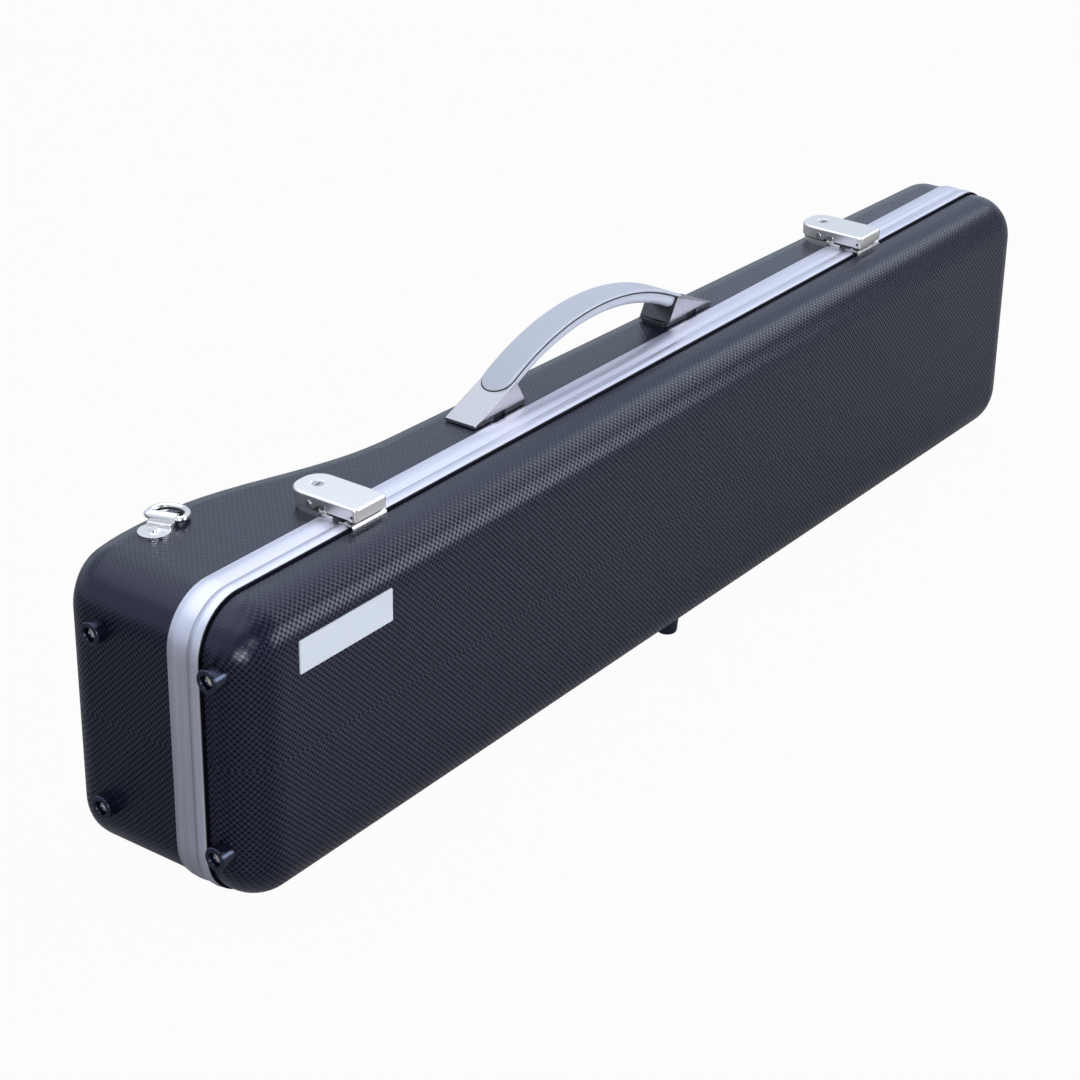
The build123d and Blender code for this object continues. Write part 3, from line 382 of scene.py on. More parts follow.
def metal_material(name, colour, roughness, streak=0.1, along=(6.0, 900.0, 900.0), depth=0.00001,
                   broad=0.3, swing=0.07, edge=None):
    """Bare or plated metal with fine streaks along one direction; edge masks where painted shadow
    darkens its edges.
    """
    material, tree, shader = start_material(name, Metallic=1.0)
    brushed = use_group(tree, Groups.brushed, Along=along, Roughness=roughness, Streak=streak,
                        Broad=broad)
    shade = blend_colour(tree, brushed["Streaks"], opaque(tinted(colour, 1 - swing)), opaque(colour))
    # painted shadow: where edge says, the colour turns dark along the metal's edges
    if edge is not None:
        shade = blend_colour(tree, edge(tree), shade, opaque(tinted(colour, RIM_SHADOW_DARK)))
    plug(tree, shade, shader.inputs["Base Color"])
    plug(tree, brushed["Roughness"], shader.inputs["Roughness"])
    bump(tree, shader, brushed["Height"], strength=0.25, depth=depth)
    return material


def moulded_material(name, colour, roughness, grain_depth=0.00004, metallic=0.0, specular=0.5,
                     tint=(1.0, 1.0, 1.0)):
    """Moulded plastic, rubber or satin paint with a fine grain."""
    material, tree, shader = start_material(name, Metallic=metallic, Specular_IOR_Level=specular,
                                            Specular_Tint=opaque(tint))
    grain = use_group(tree, Groups.grain, Roughness=roughness, **CAST_GRAIN)
    shade = blend_colour(tree, grain["Cloud"], opaque(tinted(colour, 0.92)),
                         opaque(tinted(colour, 1.04)))
    plug(tree, shade, shader.inputs["Base Color"])
    plug(tree, grain["Roughness"], shader.inputs["Roughness"])
    bump(tree, shader, grain["Height"], strength=0.35, depth=grain_depth)
    return material


def velvet_material(name, colour):
    """Short pile velvet: dark body, soft sheen and matted patches."""
    material, tree, shader = start_material(name, Sheen_Weight=0.8, Sheen_Roughness=0.35,
                                            Specular_IOR_Level=0.15, Roughness=0.9)
    shader.inputs["Sheen Tint"].default_value = opaque(tinted(colour, 3.2))
    pile = use_group(tree, Groups.pile, Nap_Scale=1400.0, Patch_Scale=30.0)
    patch = remap(tree, pile["Patches"], 0.35, 0.65, 0.0, 1.0)
    shade = blend_colour(tree, patch, opaque(tinted(colour, 0.85)), opaque(tinted(colour, 1.12)))
    plug(tree, shade, shader.inputs["Base Color"])
    bump(tree, shader, pile["Height"], strength=0.5, depth=0.0003)
    return material


def dress(material, *names):
    """Gives CAD nodes a material."""
    for name in names:
        for entry in NODES[name].material_slots:
            entry.material = material


# Meshes

MERGE_DISTANCE = 1e-6
CORD_SIDES, CORD_CORNER_STEPS = 10, 24
BEAD_SIDES = 8


def new_piece(name, mesh, material, body):
    """Finished piece in the scene, riding on its body."""
    piece = bpy.data.objects.new(name, mesh)
    bpy.context.scene.collection.objects.link(piece)
    if material is not None:
        mesh.materials.clear()
        mesh.materials.append(material)
    for polygon in mesh.polygons:
        polygon.use_smooth = True
    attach(piece, body)
    return piece


def evaluated_mesh(piece, name):
    """Plain mesh of a piece with its modifiers applied."""
    depsgraph = bpy.context.evaluated_depsgraph_get()
    mesh = bpy.data.meshes.new_from_object(piece.evaluated_get(depsgraph))
    mesh.name = name
    return mesh


def padded_copy(node, name, voxel, smoothing):
    """Soft-edged mesh of a CAD solid, remeshed and relaxed."""
    source = NODES[node].data.copy()
    merged = bmesh.new()
    merged.from_mesh(source)
    bmesh.ops.remove_doubles(merged, verts=merged.verts, dist=MERGE_DISTANCE)
    merged.to_mesh(source)
    merged.free()
    work = bpy.data.objects.new(f"{name}_work", source)
    bpy.context.scene.collection.objects.link(work)
    remesh = work.modifiers.new("remesh", "REMESH")
    remesh.mode = "VOXEL"
    remesh.voxel_size = voxel
    relax = work.modifiers.new("relax", "SMOOTH")
    relax.factor = 0.5
    relax.iterations = smoothing
    mesh = evaluated_mesh(work, name)
    bpy.data.objects.remove(work)
    return mesh


def geometry_tree(name, sockets):
    """Geometry Nodes tree with named sockets: the tree, its inputs and their identifiers."""
    tree = bpy.data.node_groups.new(name, "GeometryNodeTree")
    identifiers = {}
    for label, kind, value in sockets:
        socket = tree.interface.new_socket(label, in_out="INPUT", socket_type=kind)
        if value is not None:
            socket.default_value = value
        identifiers[label] = socket.identifier
    tree.interface.new_socket("Geometry", in_out="OUTPUT", socket_type="NodeSocketGeometry")
    return tree, add_node(tree, "NodeGroupInput").outputs, identifiers


def sweep_round(tree, given, path, sides):
    """Ends a tree with a round section swept along a path, realized and finished."""
    ring = add_node(tree, "GeometryNodeCurvePrimitiveCircle")
    ring.inputs["Resolution"].default_value = sides
    plug(tree, given["Thickness"], ring.inputs["Radius"])
    sweep = add_node(tree, "GeometryNodeCurveToMesh")
    plug(tree, path, sweep.inputs["Curve"])
    plug(tree, ring.outputs[0], sweep.inputs["Profile Curve"])
    solid = add_node(tree, "GeometryNodeRealizeInstances")
    plug(tree, sweep.outputs[0], solid.inputs[0])
    finish = add_node(tree, "GeometryNodeSetMaterial")
    plug(tree, solid.outputs[0], finish.inputs["Geometry"])
    plug(tree, given["Finish"], finish.inputs["Material"])
    plug(tree, finish.outputs[0], add_node(tree, "NodeGroupOutput").inputs[0])


def cord_tree():
    """Geometry Nodes tree: a cord round an upright rounded rectangle."""
    tree, given, identifiers = geometry_tree("edge cord", (
        ("Width", "NodeSocketFloat", 0.8), ("Height", "NodeSocketFloat", 0.17),
        ("Corner", "NodeSocketFloat", 0.02), ("Thickness", "NodeSocketFloat", 0.0012),
        ("Centre", "NodeSocketVector", (0.0, 0.0, 0.0)), ("Finish", "NodeSocketMaterial", None)))
    outline = add_node(tree, "GeometryNodeCurvePrimitiveQuadrilateral")
    plug(tree, given["Width"], outline.inputs["Width"])
    plug(tree, given["Height"], outline.inputs["Height"])
    rounded = add_node(tree, "GeometryNodeFilletCurve", mode="POLY")
    plug(tree, outline.outputs[0], rounded.inputs["Curve"])
    plug(tree, given["Corner"], rounded.inputs["Radius"])
    rounded.inputs["Count"].default_value = CORD_CORNER_STEPS
    stand = add_node(tree, "GeometryNodeTransform")
    plug(tree, rounded.outputs[0], stand.inputs["Geometry"])
    plug(tree, given["Centre"], stand.inputs["Translation"])
    stand.inputs["Rotation"].default_value = (math.pi / 2, 0.0, 0.0)
    sweep_round(tree, given, stand.outputs[0], CORD_SIDES)
    return tree, identifiers


def bead_tree():
    """Geometry Nodes tree: a thin bead along the carrier's own curve."""
    tree, given, identifiers = geometry_tree("bead", (
        ("Geometry", "NodeSocketGeometry", None), ("Thickness", "NodeSocketFloat", 0.0005),
        ("Finish", "NodeSocketMaterial", None)))
    sweep_round(tree, given, given["Geometry"], BEAD_SIDES)
    return tree, identifiers


def grow(tree, identifiers, values, name, source=None):
    """Plain mesh that a Geometry Nodes tree makes, from a source curve where one is given."""
    if source is None:
        source = bpy.data.meshes.new(f"{name}_carrier")
    carrier = bpy.data.objects.new(f"{name}_carrier", source)
    bpy.context.scene.collection.objects.link(carrier)
    modifier = carrier.modifiers.new("nodes", "NODES")
    modifier.node_group = tree
    for label, value in values.items():
        modifier[identifiers[label]] = value
    mesh = evaluated_mesh(carrier, name)
    bpy.data.objects.remove(carrier)
    return mesh


def closed_bead(points, thickness, material, name):
    """Plain mesh of a thin bead along a closed path."""
    curve = bpy.data.curves.new(f"{name}_path", "CURVE")
    curve.dimensions = "3D"
    spline = curve.splines.new("POLY")
    spline.points.add(len(points) - 1)
    for point, place in zip(spline.points, points):
        point.co = (*place, 1.0)
    spline.use_cyclic_u = True
    tree, identifiers = bead_tree()
    return grow(tree, identifiers, {"Thickness": thickness, "Finish": material}, name, curve)


# Settings


class CaseShellSettings(bpy.types.PropertyGroup):
    """Black pressed shells."""
    stud_colour: bpy.props.FloatVectorProperty(
        name="Stud colour", description="Colour of the raised studs", subtype="COLOR",
        default=(0.0115, 0.0105, 0.026), min=0.0, max=1.0)
    # painted shade: the pits' darker colour stands for the shade in the hollows between studs
    pit_shade_colour: bpy.props.FloatVectorProperty(
        name="Pit colour", description="Colour between the studs", subtype="COLOR",
        default=(0.002, 0.002, 0.004), min=0.0, max=1.0)
    shell_roughness: bpy.props.FloatProperty(
        name="Roughness", description="Roughness of the shells", default=0.26, min=0.0, max=1.0)
    shell_gloss: bpy.props.FloatProperty(
        name="Gloss", description="Specular level of the shells", default=0.12, min=0.0, max=1.0)
    stud_coat: bpy.props.FloatProperty(
        name="Stud coat", description="Clear gloss on top of the studs", default=0.6, min=0.0, max=1.0)
    coat_roughness: bpy.props.FloatProperty(
        name="Coat roughness", description="Roughness of the studs' clear gloss", default=0.24,
        min=0.0, max=1.0)
    shell_tint: bpy.props.FloatVectorProperty(
        name="Gloss tint", description="Tint of the shells' gloss", subtype="COLOR",
        default=(0.52, 0.6, 1.0), min=0.0, max=1.0)
    stud_pitch: bpy.props.FloatProperty(
        name="Stud pitch", description="Distance between studs in a row", default=0.003995,
        unit="LENGTH")
    soft_edge: bpy.props.FloatProperty(
        name="Soft edge", description="Radius of the soft edge round the lid's face", default=0.028,
        unit="LENGTH")
    stud_depth: bpy.props.FloatProperty(
        name="Stud depth", description="Height of the studs", default=0.0006, unit="LENGTH")
    stud_strength: bpy.props.FloatProperty(
        name="Stud strength", description="Share of the studs' height that is used", default=1.0,
        min=0.0, max=1.0)


class CaseMetalSettings(bpy.types.PropertyGroup):
    """Band, plating and handle."""
    band_colour: bpy.props.FloatVectorProperty(
        name="Band colour", description="Satin aluminium of the band", subtype="COLOR",
        default=(0.68, 0.66, 0.74), min=0.0, max=1.0)
    band_roughness: bpy.props.FloatProperty(
        name="Band roughness", description="Roughness of the band", default=0.42, min=0.0, max=1.0)
    # painted shadow: width of the dark lines painted along the band's edges
    rim_shade: bpy.props.FloatProperty(
        name="Rim shade", description="Width of the dark lines along the band's edges", default=0.0009,
        unit="LENGTH")
    band_corner: bpy.props.FloatProperty(
        name="Band corner", description="Outer radius of the band's corners", default=0.034,
        unit="LENGTH")
    # painted shadow: these place the near-black bead that stands for the shadow in front of the band
    shadow_bead_radius: bpy.props.FloatProperty(
        name="Shadow bead radius", description="Radius of the seal in front of the band", default=0.0008,
        unit="LENGTH")
    shadow_bead_inset: bpy.props.FloatProperty(
        name="Shadow bead inset", description="Shadow bead's centre below the band's face", default=0.0014,
        unit="LENGTH")
    shadow_bead_out: bpy.props.FloatProperty(
        name="Shadow bead out", description="Shadow bead's centre in front of the band", default=0.00055,
        unit="LENGTH")
    plating_colour: bpy.props.FloatVectorProperty(
        name="Plating colour", description="Bright plating of latches and rings", subtype="COLOR",
        default=(0.82, 0.78, 0.75), min=0.0, max=1.0)
    plate_colour: bpy.props.FloatVectorProperty(
        name="Plate colour", description="Satin face of the name plate", subtype="COLOR",
        default=(0.78, 0.79, 0.83), min=0.0, max=1.0)
    steel_colour: bpy.props.FloatVectorProperty(
        name="Steel colour", description="Zinc plated steel of hinges and pins", subtype="COLOR",
        default=(0.5, 0.51, 0.55), min=0.0, max=1.0)
    bracket_colour: bpy.props.FloatVectorProperty(
        name="Bracket colour", description="Satin silver of the handle's brackets", subtype="COLOR",
        default=(0.39, 0.37, 0.38), min=0.0, max=1.0)
    grip_colour: bpy.props.FloatVectorProperty(
        name="Grip colour", description="Grip and pad of the handle", subtype="COLOR",
        default=(0.57, 0.575, 0.64), min=0.0, max=1.0)
    arch_radius: bpy.props.FloatProperty(
        name="Arch radius", description="Radius of the joint between grip and pad", default=0.196,
        unit="LENGTH")
    pad_crown: bpy.props.FloatProperty(
        name="Pad crown", description="Pad's thickness at the top", default=0.0017, unit="LENGTH")
    slope_from: bpy.props.FloatProperty(
        name="Slope from", description="Where the arch meets the brackets' slopes, from the middle",
        default=0.0895, unit="LENGTH")
    # painted shadow: radius of the dark bead along the pad's joint that stands for the shadow in its
    # gap
    seam_shadow_radius: bpy.props.FloatProperty(
        name="Seam radius", description="Radius of the dark seam round the pad", default=0.0005,
        unit="LENGTH")


class CaseLiningSettings(bpy.types.PropertyGroup):
    """Velvet inside the case."""
    velvet_colour: bpy.props.FloatVectorProperty(
        name="Velvet colour", description="Velvet over the foam", subtype="COLOR",
        default=(0.09, 0.012, 0.022), min=0.0, max=1.0)
    foam_voxel: bpy.props.FloatProperty(
        name="Foam voxel", description="Fineness of the padded meshes", default=0.0026, unit="LENGTH")
    foam_smoothing: bpy.props.IntProperty(
        name="Foam smoothing", description="How far the foam's edges are softened", default=9, min=0)
    piping_radius: bpy.props.FloatProperty(
        name="Piping radius", description="Radius of the cord of piping", default=0.0013, unit="LENGTH")


class CaseStudioSettings(bpy.types.PropertyGroup):
    """Camera, floor and lamps."""
    camera_place: bpy.props.FloatVectorProperty(
        name="Camera place", description="Where the camera stands", subtype="TRANSLATION",
        default=(-1.3581, -0.9346, 0.8829))
    camera_turn: bpy.props.FloatVectorProperty(
        name="Camera turn", description="Camera's turn", subtype="EULER",
        default=(math.radians(63.33), math.radians(-0.795), math.radians(-53.55)))
    camera_lens: bpy.props.FloatProperty(
        name="Lens", description="Focal length in millimetres", default=90.905)
    overhead_power: bpy.props.FloatProperty(
        name="Overhead power", description="Power of the overhead panel", default=42.0, unit="POWER")
    front_power: bpy.props.FloatProperty(
        name="Front power", description="Power of the front softbox", default=44.0, unit="POWER")
    near_power: bpy.props.FloatProperty(
        name="Near power", description="Power of the small softbox beside the camera", default=6.0,
        unit="POWER")
    strip_power: bpy.props.FloatProperty(
        name="Strip power", description="Power of the long softbox at the neck end", default=13.0,
        unit="POWER")
    side_power: bpy.props.FloatProperty(
        name="Side power", description="Power of the low softbox at the wide end", default=20.0,
        unit="POWER")
    lamp_colour: bpy.props.FloatVectorProperty(
        name="Lamp colour", description="Cool white of the lamps", subtype="COLOR",
        default=(0.84, 0.91, 1.0), min=0.0, max=1.0)
    sky_colour: bpy.props.FloatVectorProperty(
        name="Sky colour", description="Colour of the surrounding light on the case", subtype="COLOR",
        default=(0.74, 0.85, 1.0), min=0.0, max=1.0)
    # painted reflection: the floor glows for gloss alone, by these shares in front and behind
    floor_glow_front: bpy.props.FloatProperty(
        name="Floor in front", description="Brightness of the floor in front, as gloss shows it",
        default=0.3, min=0.0, max=1.0)
    floor_glow_back: bpy.props.FloatProperty(
        name="Floor behind", description="Brightness of the floor behind, as gloss shows it",
        default=0.08, min=0.0, max=1.0)
    sky_strength: bpy.props.FloatProperty(
        name="Sky strength", description="Strength of the plain surrounding light", default=0.22)


# Operators

CASE_MIDDLE = (0.0, 0.0, 0.1)
# name, place, what it is turned to, width and height, and the setting that holds its power
LAMPS = (
    ("overhead", (-0.1, 0.55, 2.1), (-0.1, 0.5, 0.0), (4.0, 3.0), "overhead_power"),
    ("front", (1.2, -2.2, 0.75), CASE_MIDDLE, (2.0, 1.1), "front_power"),
    ("near_camera", (-1.4, -1.9, 1.3), CASE_MIDDLE, (0.7, 0.5), "near_power"),
    ("strip", (1.6, -0.8, 1.45), CASE_MIDDLE, (1.5, 0.8), "strip_power"),
    ("low_side", (-1.96, -1.17, 0.4), (-0.44, -0.07, 0.1), (0.9, 0.5), "side_power"),
)
SURROUND_WAY = (0.0, 0.894, 0.447)  # towards the middle of the white surround
SURROUND_FADE = 0.1
FLOOR_HALF = 8.0
FLOOR_GREY = 0.25
FLOOR_OPEN = 0.97  # share of the floor that the camera sees through
GLOSS_FRONT, GLOSS_BACK = -0.2, -0.02  # Y where the painted reflection passes from the floor's front glow to its back glow


class CASE_OT_studio(bpy.types.Operator):
    """Sets the floor, the surrounding light, the lamps and the camera."""
    bl_idname = "case.studio"
    bl_label = "Studio"

    def execute(self, context):
        settings = context.scene.case_studio
        context.scene.view_settings.view_transform = "Standard"
        self.world(context, settings)
        self.floor(context, settings)
        for name, place, target, size, power in LAMPS:
            self.lamp(context, settings, name, place, target, size, power)
        self.camera(context, settings)
        return {"FINISHED"}

    def world(self, context, settings):
        """White to the camera, a plain cool light on the case, and a white surround in its gloss."""
        world = bpy.data.worlds.new("studio")
        context.scene.world = world
        world.use_nodes = True
        tree = world.node_tree
        background = tree.nodes["Background"].inputs
        light, seen = light_path(tree)
        colour = blend_colour(tree, seen, opaque(settings.sky_colour), opaque((1.0, 1.0, 1.0)))
        plug(tree, colour, background["Color"])
        # the white surround stands behind and over the case, and ends a little in front of it
        generated = add_node(tree, "ShaderNodeTexCoord").outputs["Generated"]
        towards = vector_maths(tree, "DOT_PRODUCT", generated, SURROUND_WAY)["Value"]
        surround = remap(tree, towards, -SURROUND_FADE, SURROUND_FADE, settings.sky_strength, 1.0)
        mirrored = blend_value(tree, light["Is Glossy Ray"], settings.sky_strength, surround)
        plug(tree, blend_value(tree, seen, mirrored, 1.0), background["Strength"])

    def floor(self, context, settings):
        """Grey floor that holds a faint shadow and lets the white surround show."""
        mesh = bpy.data.meshes.new("floor")
        corners = [(x * FLOOR_HALF, y * FLOOR_HALF, 0) for x, y in ((-1, -1), (1, -1), (1, 1), (-1, 1))]
        mesh.from_pydata(corners, [], [(0, 1, 2, 3)])
        floor = bpy.data.objects.new("floor", mesh)
        context.scene.collection.objects.link(floor)
        material, tree, shader = start_material(
            "studio floor", Base_Color=opaque((FLOOR_GREY, FLOOR_GREY, FLOOR_GREY)), Roughness=0.9)
        light, seen = light_path(tree)
        # painted reflection: the floor glows for gloss alone, more in front of the case than behind it
        mirrored = remap(tree, parted(tree, object_place(tree))[1], GLOSS_FRONT, GLOSS_BACK,
                         settings.floor_glow_front, settings.floor_glow_back)
        shown = self.blend_shader(tree, maths(tree, "MULTIPLY", light["Is Glossy Ray"], mirrored),
                                  shader, add_node(tree, "ShaderNodeEmission"))
        # the white surround shows through the floor, and so does the lid where it swings below it
        passing = maths(tree, "MAXIMUM", maths(tree, "MULTIPLY", seen, FLOOR_OPEN),
                        light["Is Shadow Ray"])
        through = self.blend_shader(tree, passing, shown, add_node(tree, "ShaderNodeBsdfTransparent"))
        plug(tree, through.outputs[0], tree.nodes["Material Output"].inputs["Surface"])
        mesh.materials.append(material)

    def blend_shader(self, tree, factor, first, second):
        """Mix Shader node of two shader nodes."""
        node = add_node(tree, "ShaderNodeMixShader")
        plug(tree, factor, node.inputs[0])
        plug(tree, first.outputs[0], node.inputs[1])
        plug(tree, second.outputs[0], node.inputs[2])
        return node

    def lamp(self, context, settings, name, place, target, size, power):
        """Softbox turned to its target; power names the setting that holds it."""
        data = bpy.data.lights.new(name, "AREA")
        data.shape = "RECTANGLE"
        data.size, data.size_y = size
        data.energy = getattr(settings, power)
        data.color = settings.lamp_colour
        lamp = bpy.data.objects.new(name, data)
        context.scene.collection.objects.link(lamp)
        lamp.location = place
        lamp.rotation_euler = (Vector(target) - Vector(place)).to_track_quat("-Z", "Y").to_euler()

    def camera(self, context, settings):
        """Camera at the place fitted to the photograph."""
        data = bpy.data.cameras.new("camera")
        data.lens = settings.camera_lens
        data.sensor_width = 36.0
        camera = bpy.data.objects.new("camera", data)
        context.scene.collection.objects.link(camera)
        camera.location = settings.camera_place
        camera.rotation_euler = settings.camera_turn
        context.scene.camera = camera


class CASE_OT_shells(bpy.types.Operator):
    """Finishes the two pressed black shells."""
    bl_idname = "case.shells"
    bl_label = "Shells"

    def execute(self, context):
        settings = context.scene.case_shell
        dress(shell_material("lid shell", "lid_shell", settings, 0.0), "lid_shell")
        dress(shell_material("body shell", "body_shell", settings, 1.0), "body_shell")
        return {"FINISHED"}


class CASE_OT_band(bpy.types.Operator):
    """Finishes the two halves of the aluminium band."""
    bl_idname = "case.band"
    bl_label = "Band"

    def execute(self, context):
        settings = context.scene.case_metal
        low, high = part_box("lid_frame")[0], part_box("body_frame")[1]
        middle, half = (low[1] + high[1]) / 2, (high[1] - low[1]) / 2

        def painted_rim_shadow(tree):
            """Painted shadow lines where the band meets the shells."""
            across = parted(tree, object_place(tree))[1]
            off = maths(tree, "ABSOLUTE", maths(tree, "SUBTRACT", across, middle))
            full = 0.4 * settings.rim_shade
            return remap(tree, off, half - settings.rim_shade, half - full, 0.0, 1.0)

        band = metal_material("satin aluminium", settings.band_colour, settings.band_roughness,
                              streak=0.18, along=(7.0, 620.0, 7.0), depth=0.000005, broad=0.65,
                              swing=0.2, edge=painted_rim_shadow)
        dress(band, "body_frame", "lid_frame")
        self.shadow_bead(settings, low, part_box("lid_frame")[1])
        return {"FINISHED"}

    def shadow_bead(self, settings, low, high):
        """Near-black bead in the step between the lid's frame and its shell; painted shadow, a dark
        strip put where the step's shadow falls.
        """
        # painted shadow: this near-black finish stands for the shadow in the step in front of the band
        rubber = moulded_material("black seal", (0.001, 0.001, 0.002), roughness=0.5, specular=0.05)
        tree, identifiers = cord_tree()
        inset = 2 * settings.shadow_bead_inset
        values = {"Width": high[0] - low[0] - inset, "Height": high[2] - low[2] - inset,
                  "Corner": settings.band_corner - settings.shadow_bead_inset,
                  "Thickness": settings.shadow_bead_radius,
                  "Centre": ((low[0] + high[0]) / 2, low[1] - settings.shadow_bead_out,
                             (low[2] + high[2]) / 2),
                  "Finish": rubber}
        new_piece("lid_seal", grow(tree, identifiers, values, "lid_seal"), None, LID)


class CASE_OT_hinges(bpy.types.Operator):
    """Finishes the hinges on the spine."""
    bl_idname = "case.hinges"
    bl_label = "Hinges"

    def execute(self, context):
        settings = context.scene.case_metal
        steel = metal_material("zinc plated steel", settings.steel_colour, roughness=0.36, streak=0.14)
        for number in (1, 2, 3):
            dress(steel, f"hinge_leaf_body_{number}", f"hinge_leaf_lid_{number}", f"hinge_pin_{number}")
        return {"FINISHED"}


class CASE_OT_latches(bpy.types.Operator):
    """Finishes both latches."""
    bl_idname = "case.latches"
    bl_label = "Latches"

    def execute(self, context):
        settings = context.scene.case_metal
        plating = metal_material("latch plating", settings.plating_colour, roughness=0.3, **PLATED)
        steel = metal_material("latch steel", tinted(settings.plating_colour, 0.6), roughness=0.3)
        for side in SIDES:
            dress(plating, f"latch_cover_{side}", f"latch_base_{side}")
            dress(steel, f"latch_link_{side}", f"latch_axle_{side}", f"latch_pin_{side}",
                  f"latch_claw_{side}", f"latch_keeper_{side}", f"latch_lock_{side}")
        return {"FINISHED"}


class CASE_OT_handle(bpy.types.Operator):
    """Finishes the carrying handle."""
    bl_idname = "case.handle"
    bl_label = "Handle"

    def execute(self, context):
        settings = context.scene.case_metal
        bracket = self.bracket_material(settings)
        mount = moulded_material("black mount", MOULDED_BLACK, roughness=0.5)
        grip = moulded_material("handle grip", settings.grip_colour, roughness=0.38)
        pad = moulded_material("handle pad", tinted(settings.grip_colour, 0.94), roughness=0.42,
                               grain_depth=0.0001)
        steel = metal_material("handle steel", settings.steel_colour, roughness=0.3)
        for side in SIDES:
            dress(bracket, f"handle_bracket_{side}")
            dress(mount, f"handle_mount_{side}")
            dress(steel, f"handle_clip_{side}")
        dress(grip, "handle_grip")
        dress(pad, "handle_pad")
        dress(steel, "handle_backing")
        # painted shadow: a near-black bead along the joint round the pad stands for the shadow in the
        # gap there
        seam_shadow = moulded_material("handle seam", (0.008, 0.008, 0.01), roughness=0.6)
        mesh = closed_bead(self.pad_outline(settings), settings.seam_shadow_radius, seam_shadow, "handle_seam")
        new_piece("handle_seam", mesh, None, BODY)
        return {"FINISHED"}

    def bracket_material(self, settings):
        """Satin silver, with painted shade on the face turned in under the arch."""
        material, tree, shader = start_material("satin silver", Metallic=1.0)
        grain = use_group(tree, Groups.grain, Roughness=0.28, **CAST_GRAIN)
        colour = settings.bracket_colour
        silver = blend_colour(tree, grain["Cloud"], opaque(tinted(colour, 0.9)),
                              opaque(tinted(colour, 1.06)))
        low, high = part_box("handle_pad")
        coordinates = add_node(tree, "ShaderNodeTexCoord").outputs
        along = parted(tree, coordinates["Object"])[0]
        side = maths(tree, "SIGN", maths(tree, "SUBTRACT", along, (low[0] + high[0]) / 2))
        inward = maths(tree, "MULTIPLY", parted(tree, coordinates["Normal"])[0], side)
        # painted shade: faces turned towards the handle's middle darken to a fifth of the silver
        dark_at, plain_at = -0.85, -0.6
        inner_face_shade = remap(tree, inward, dark_at, plain_at, 1.0, 0.0)
        shade = blend_colour(tree, inner_face_shade, silver, opaque(tinted(colour, 0.2)))
        plug(tree, shade, shader.inputs["Base Color"])
        plug(tree, grain["Roughness"], shader.inputs["Roughness"])
        bump(tree, shader, grain["Height"], strength=0.35, depth=0.00003)
        return material

    def pad_outline(self, settings):
        """Joint line round the pad, over the arch and down both brackets' slopes."""
        low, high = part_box("handle_pad")
        centre = (low + high) / 2
        half, side = (high[0] - low[0]) / 2, (high[1] - low[1]) / 2
        radius, slope_from = settings.arch_radius, settings.slope_from
        top = high[2] - settings.pad_crown

        def height(u):
            """Joint's height at a distance from the handle's middle."""
            reach = min(abs(u), slope_from)
            arch = top - radius + math.sqrt(radius ** 2 - reach ** 2)
            share = max(0.0, abs(u) - slope_from) / (half - slope_from)
            return arch + (low[2] - arch) * share

        straight, steps, round_steps = half - side, 40, 16
        plan = [(-straight + 2 * straight * n / steps, -side) for n in range(steps + 1)]
        plan += [(straight + side * math.sin(t), -side * math.cos(t))
                 for t in (math.pi * n / round_steps for n in range(1, round_steps))]
        plan += [(-u, -v) for u, v in plan]
        return [(centre[0] + u, centre[1] + v, height(u)) for u, v in plan]


class CASE_OT_rings(bpy.types.Operator):
    """Finishes the carrying rings and their tabs."""
    bl_idname = "case.rings"
    bl_label = "Carrying rings"

    def execute(self, context):
        settings = context.scene.case_metal
        plating = metal_material("ring plating", settings.plating_colour, roughness=0.2, **PLATED)
        seat = moulded_material("ring seat", MOULDED_BLACK, roughness=0.5)
        dress(plating, "ring_tab_upper", "ring_tab_end", "carry_ring_upper", "carry_ring_end")
        dress(seat, "ring_seat_end")
        return {"FINISHED"}


class CASE_OT_feet(bpy.types.Operator):
    """Finishes the rubber feet and their screws."""
    bl_idname = "case.feet"
    bl_label = "Feet"

    def execute(self, context):
        settings = context.scene.case_metal
        rubber = moulded_material("black rubber", (0.004, 0.004, 0.009), roughness=0.2,
                                  grain_depth=0.00003, specular=0.7, tint=(0.6, 0.68, 1.0))
        screw = metal_material("foot screws", tinted(settings.plating_colour, 1.1), roughness=0.2)
        for part in ("body", "lid"):
            for level in ("lower", "upper"):
                dress(rubber, f"end_foot_{part}_{level}")
                dress(screw, f"end_screw_{part}_{level}")
        dress(rubber, "spine_foot_lid", "spine_foot_body_wide", "spine_foot_body_neck")
        return {"FINISHED"}


class CASE_OT_name_plate(bpy.types.Operator):
    """Finishes the bare name plate."""
    bl_idname = "case.name_plate"
    bl_label = "Name plate"

    def execute(self, context):
        settings = context.scene.case_metal
        plate = moulded_material("name plate", settings.plate_colour, roughness=0.4,
                                 grain_depth=0.00001, metallic=0.35)
        dress(plate, "name_plate")
        return {"FINISHED"}


PIPING_INSET = 0.004  # piping's centre inside the lining's outline
PIPING_CORNER = 0.024
PIPING_SUNK = 0.4  # share of the piping's radius by which it sinks into the rim


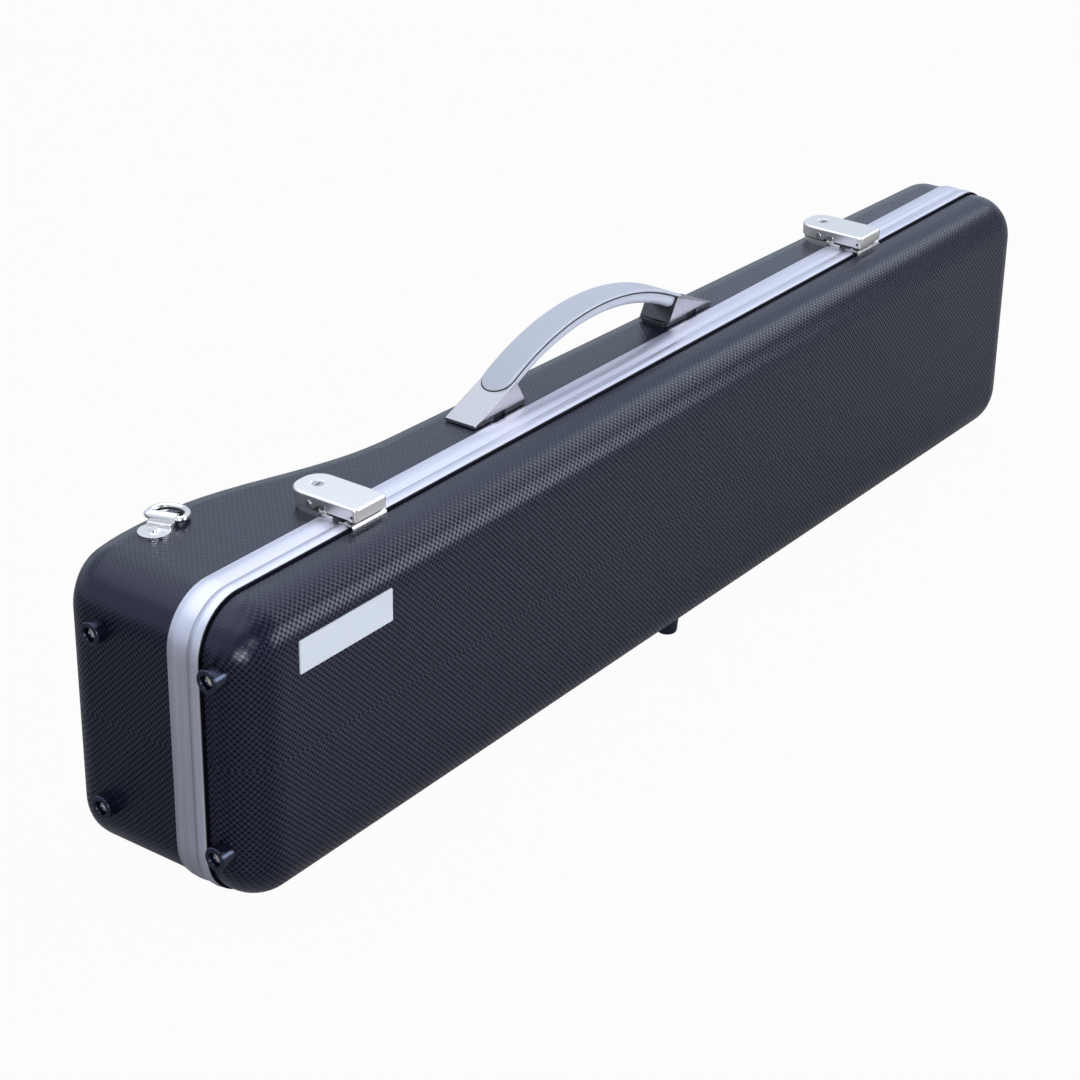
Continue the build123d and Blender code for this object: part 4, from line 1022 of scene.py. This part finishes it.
class CASE_OT_lining(bpy.types.Operator):
    """Lays the velvet foam, the lid's lining and their piping."""
    bl_idname = "case.lining"
    bl_label = "Velvet lining"

    def execute(self, context):
        settings = context.scene.case_lining
        velvet = velvet_material("velvet", settings.velvet_colour)
        for node in FOAM_NODES:
            name = f"velvet_{node}"
            mesh = padded_copy(node, name, settings.foam_voxel, settings.foam_smoothing)
            piece = new_piece(name, mesh, velvet, BODY)
            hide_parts(node)
        mesh = padded_copy("lid_lining", "velvet_lid_lining", settings.foam_voxel,
                           settings.foam_smoothing)
        piece = new_piece("velvet_lid_lining", mesh, velvet, LID)
        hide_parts("lid_lining")
        self.piping(settings)
        return {"FINISHED"}

    def piping(self, settings):
        """Piping round the lid lining's open rim."""
        cord = moulded_material("piping", tinted(settings.velvet_colour, 0.7), roughness=0.7)
        tree, identifiers = cord_tree()
        low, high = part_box("lid_lining")
        values = {"Width": high[0] - low[0] - 2 * PIPING_INSET,
                  "Height": high[2] - low[2] - 2 * PIPING_INSET,
                  "Corner": PIPING_CORNER, "Thickness": settings.piping_radius,
                  "Centre": ((low[0] + high[0]) / 2, high[1] - settings.piping_radius * PIPING_SUNK,
                             (low[2] + high[2]) / 2),
                  "Finish": cord}
        new_piece("lid_piping", grow(tree, identifiers, values, "lid_piping"), None, LID)


class CASE_PT_sidebar(bpy.types.Panel):
    """Lists the case's steps and sizes."""
    bl_label = "Erhu Case"
    bl_idname = "CASE_PT_sidebar"
    bl_space_type = "VIEW_3D"
    bl_region_type = "UI"
    bl_category = "Case"

    def draw(self, context):
        layout = self.layout
        for operator in OPERATORS:
            layout.operator(operator.bl_idname)
        for name in SETTINGS:
            group = getattr(context.scene, name)
            box = layout.box()
            for key in group.bl_rna.properties.keys():
                if key not in ("rna_type", "name"):
                    box.prop(group, key)


OPERATORS = (CASE_OT_studio, CASE_OT_shells, CASE_OT_band, CASE_OT_hinges, CASE_OT_latches,
             CASE_OT_handle, CASE_OT_rings, CASE_OT_feet, CASE_OT_name_plate, CASE_OT_lining)
SETTINGS = {"case_shell": CaseShellSettings, "case_metal": CaseMetalSettings,
            "case_lining": CaseLiningSettings, "case_studio": CaseStudioSettings}


def register():
    """Adds the settings, the steps and their sidebar."""
    for group in SETTINGS.values():
        bpy.utils.register_class(group)
    for name, group in SETTINGS.items():
        setattr(bpy.types.Scene, name, bpy.props.PointerProperty(type=group))
    for operator in OPERATORS:
        bpy.utils.register_class(operator)
    bpy.utils.register_class(CASE_PT_sidebar)


def unregister():
    """Takes them out again."""
    bpy.utils.unregister_class(CASE_PT_sidebar)
    for operator in reversed(OPERATORS):
        bpy.utils.unregister_class(operator)
    for name, group in SETTINGS.items():
        delattr(bpy.types.Scene, name)
        bpy.utils.unregister_class(group)


def main():
    """Builds every piece in order."""
    register()
    for operator in OPERATORS:
        group, name = operator.bl_idname.split(".")
        getattr(getattr(bpy.ops, group), name)()


if __name__ == "__main__":
    main()
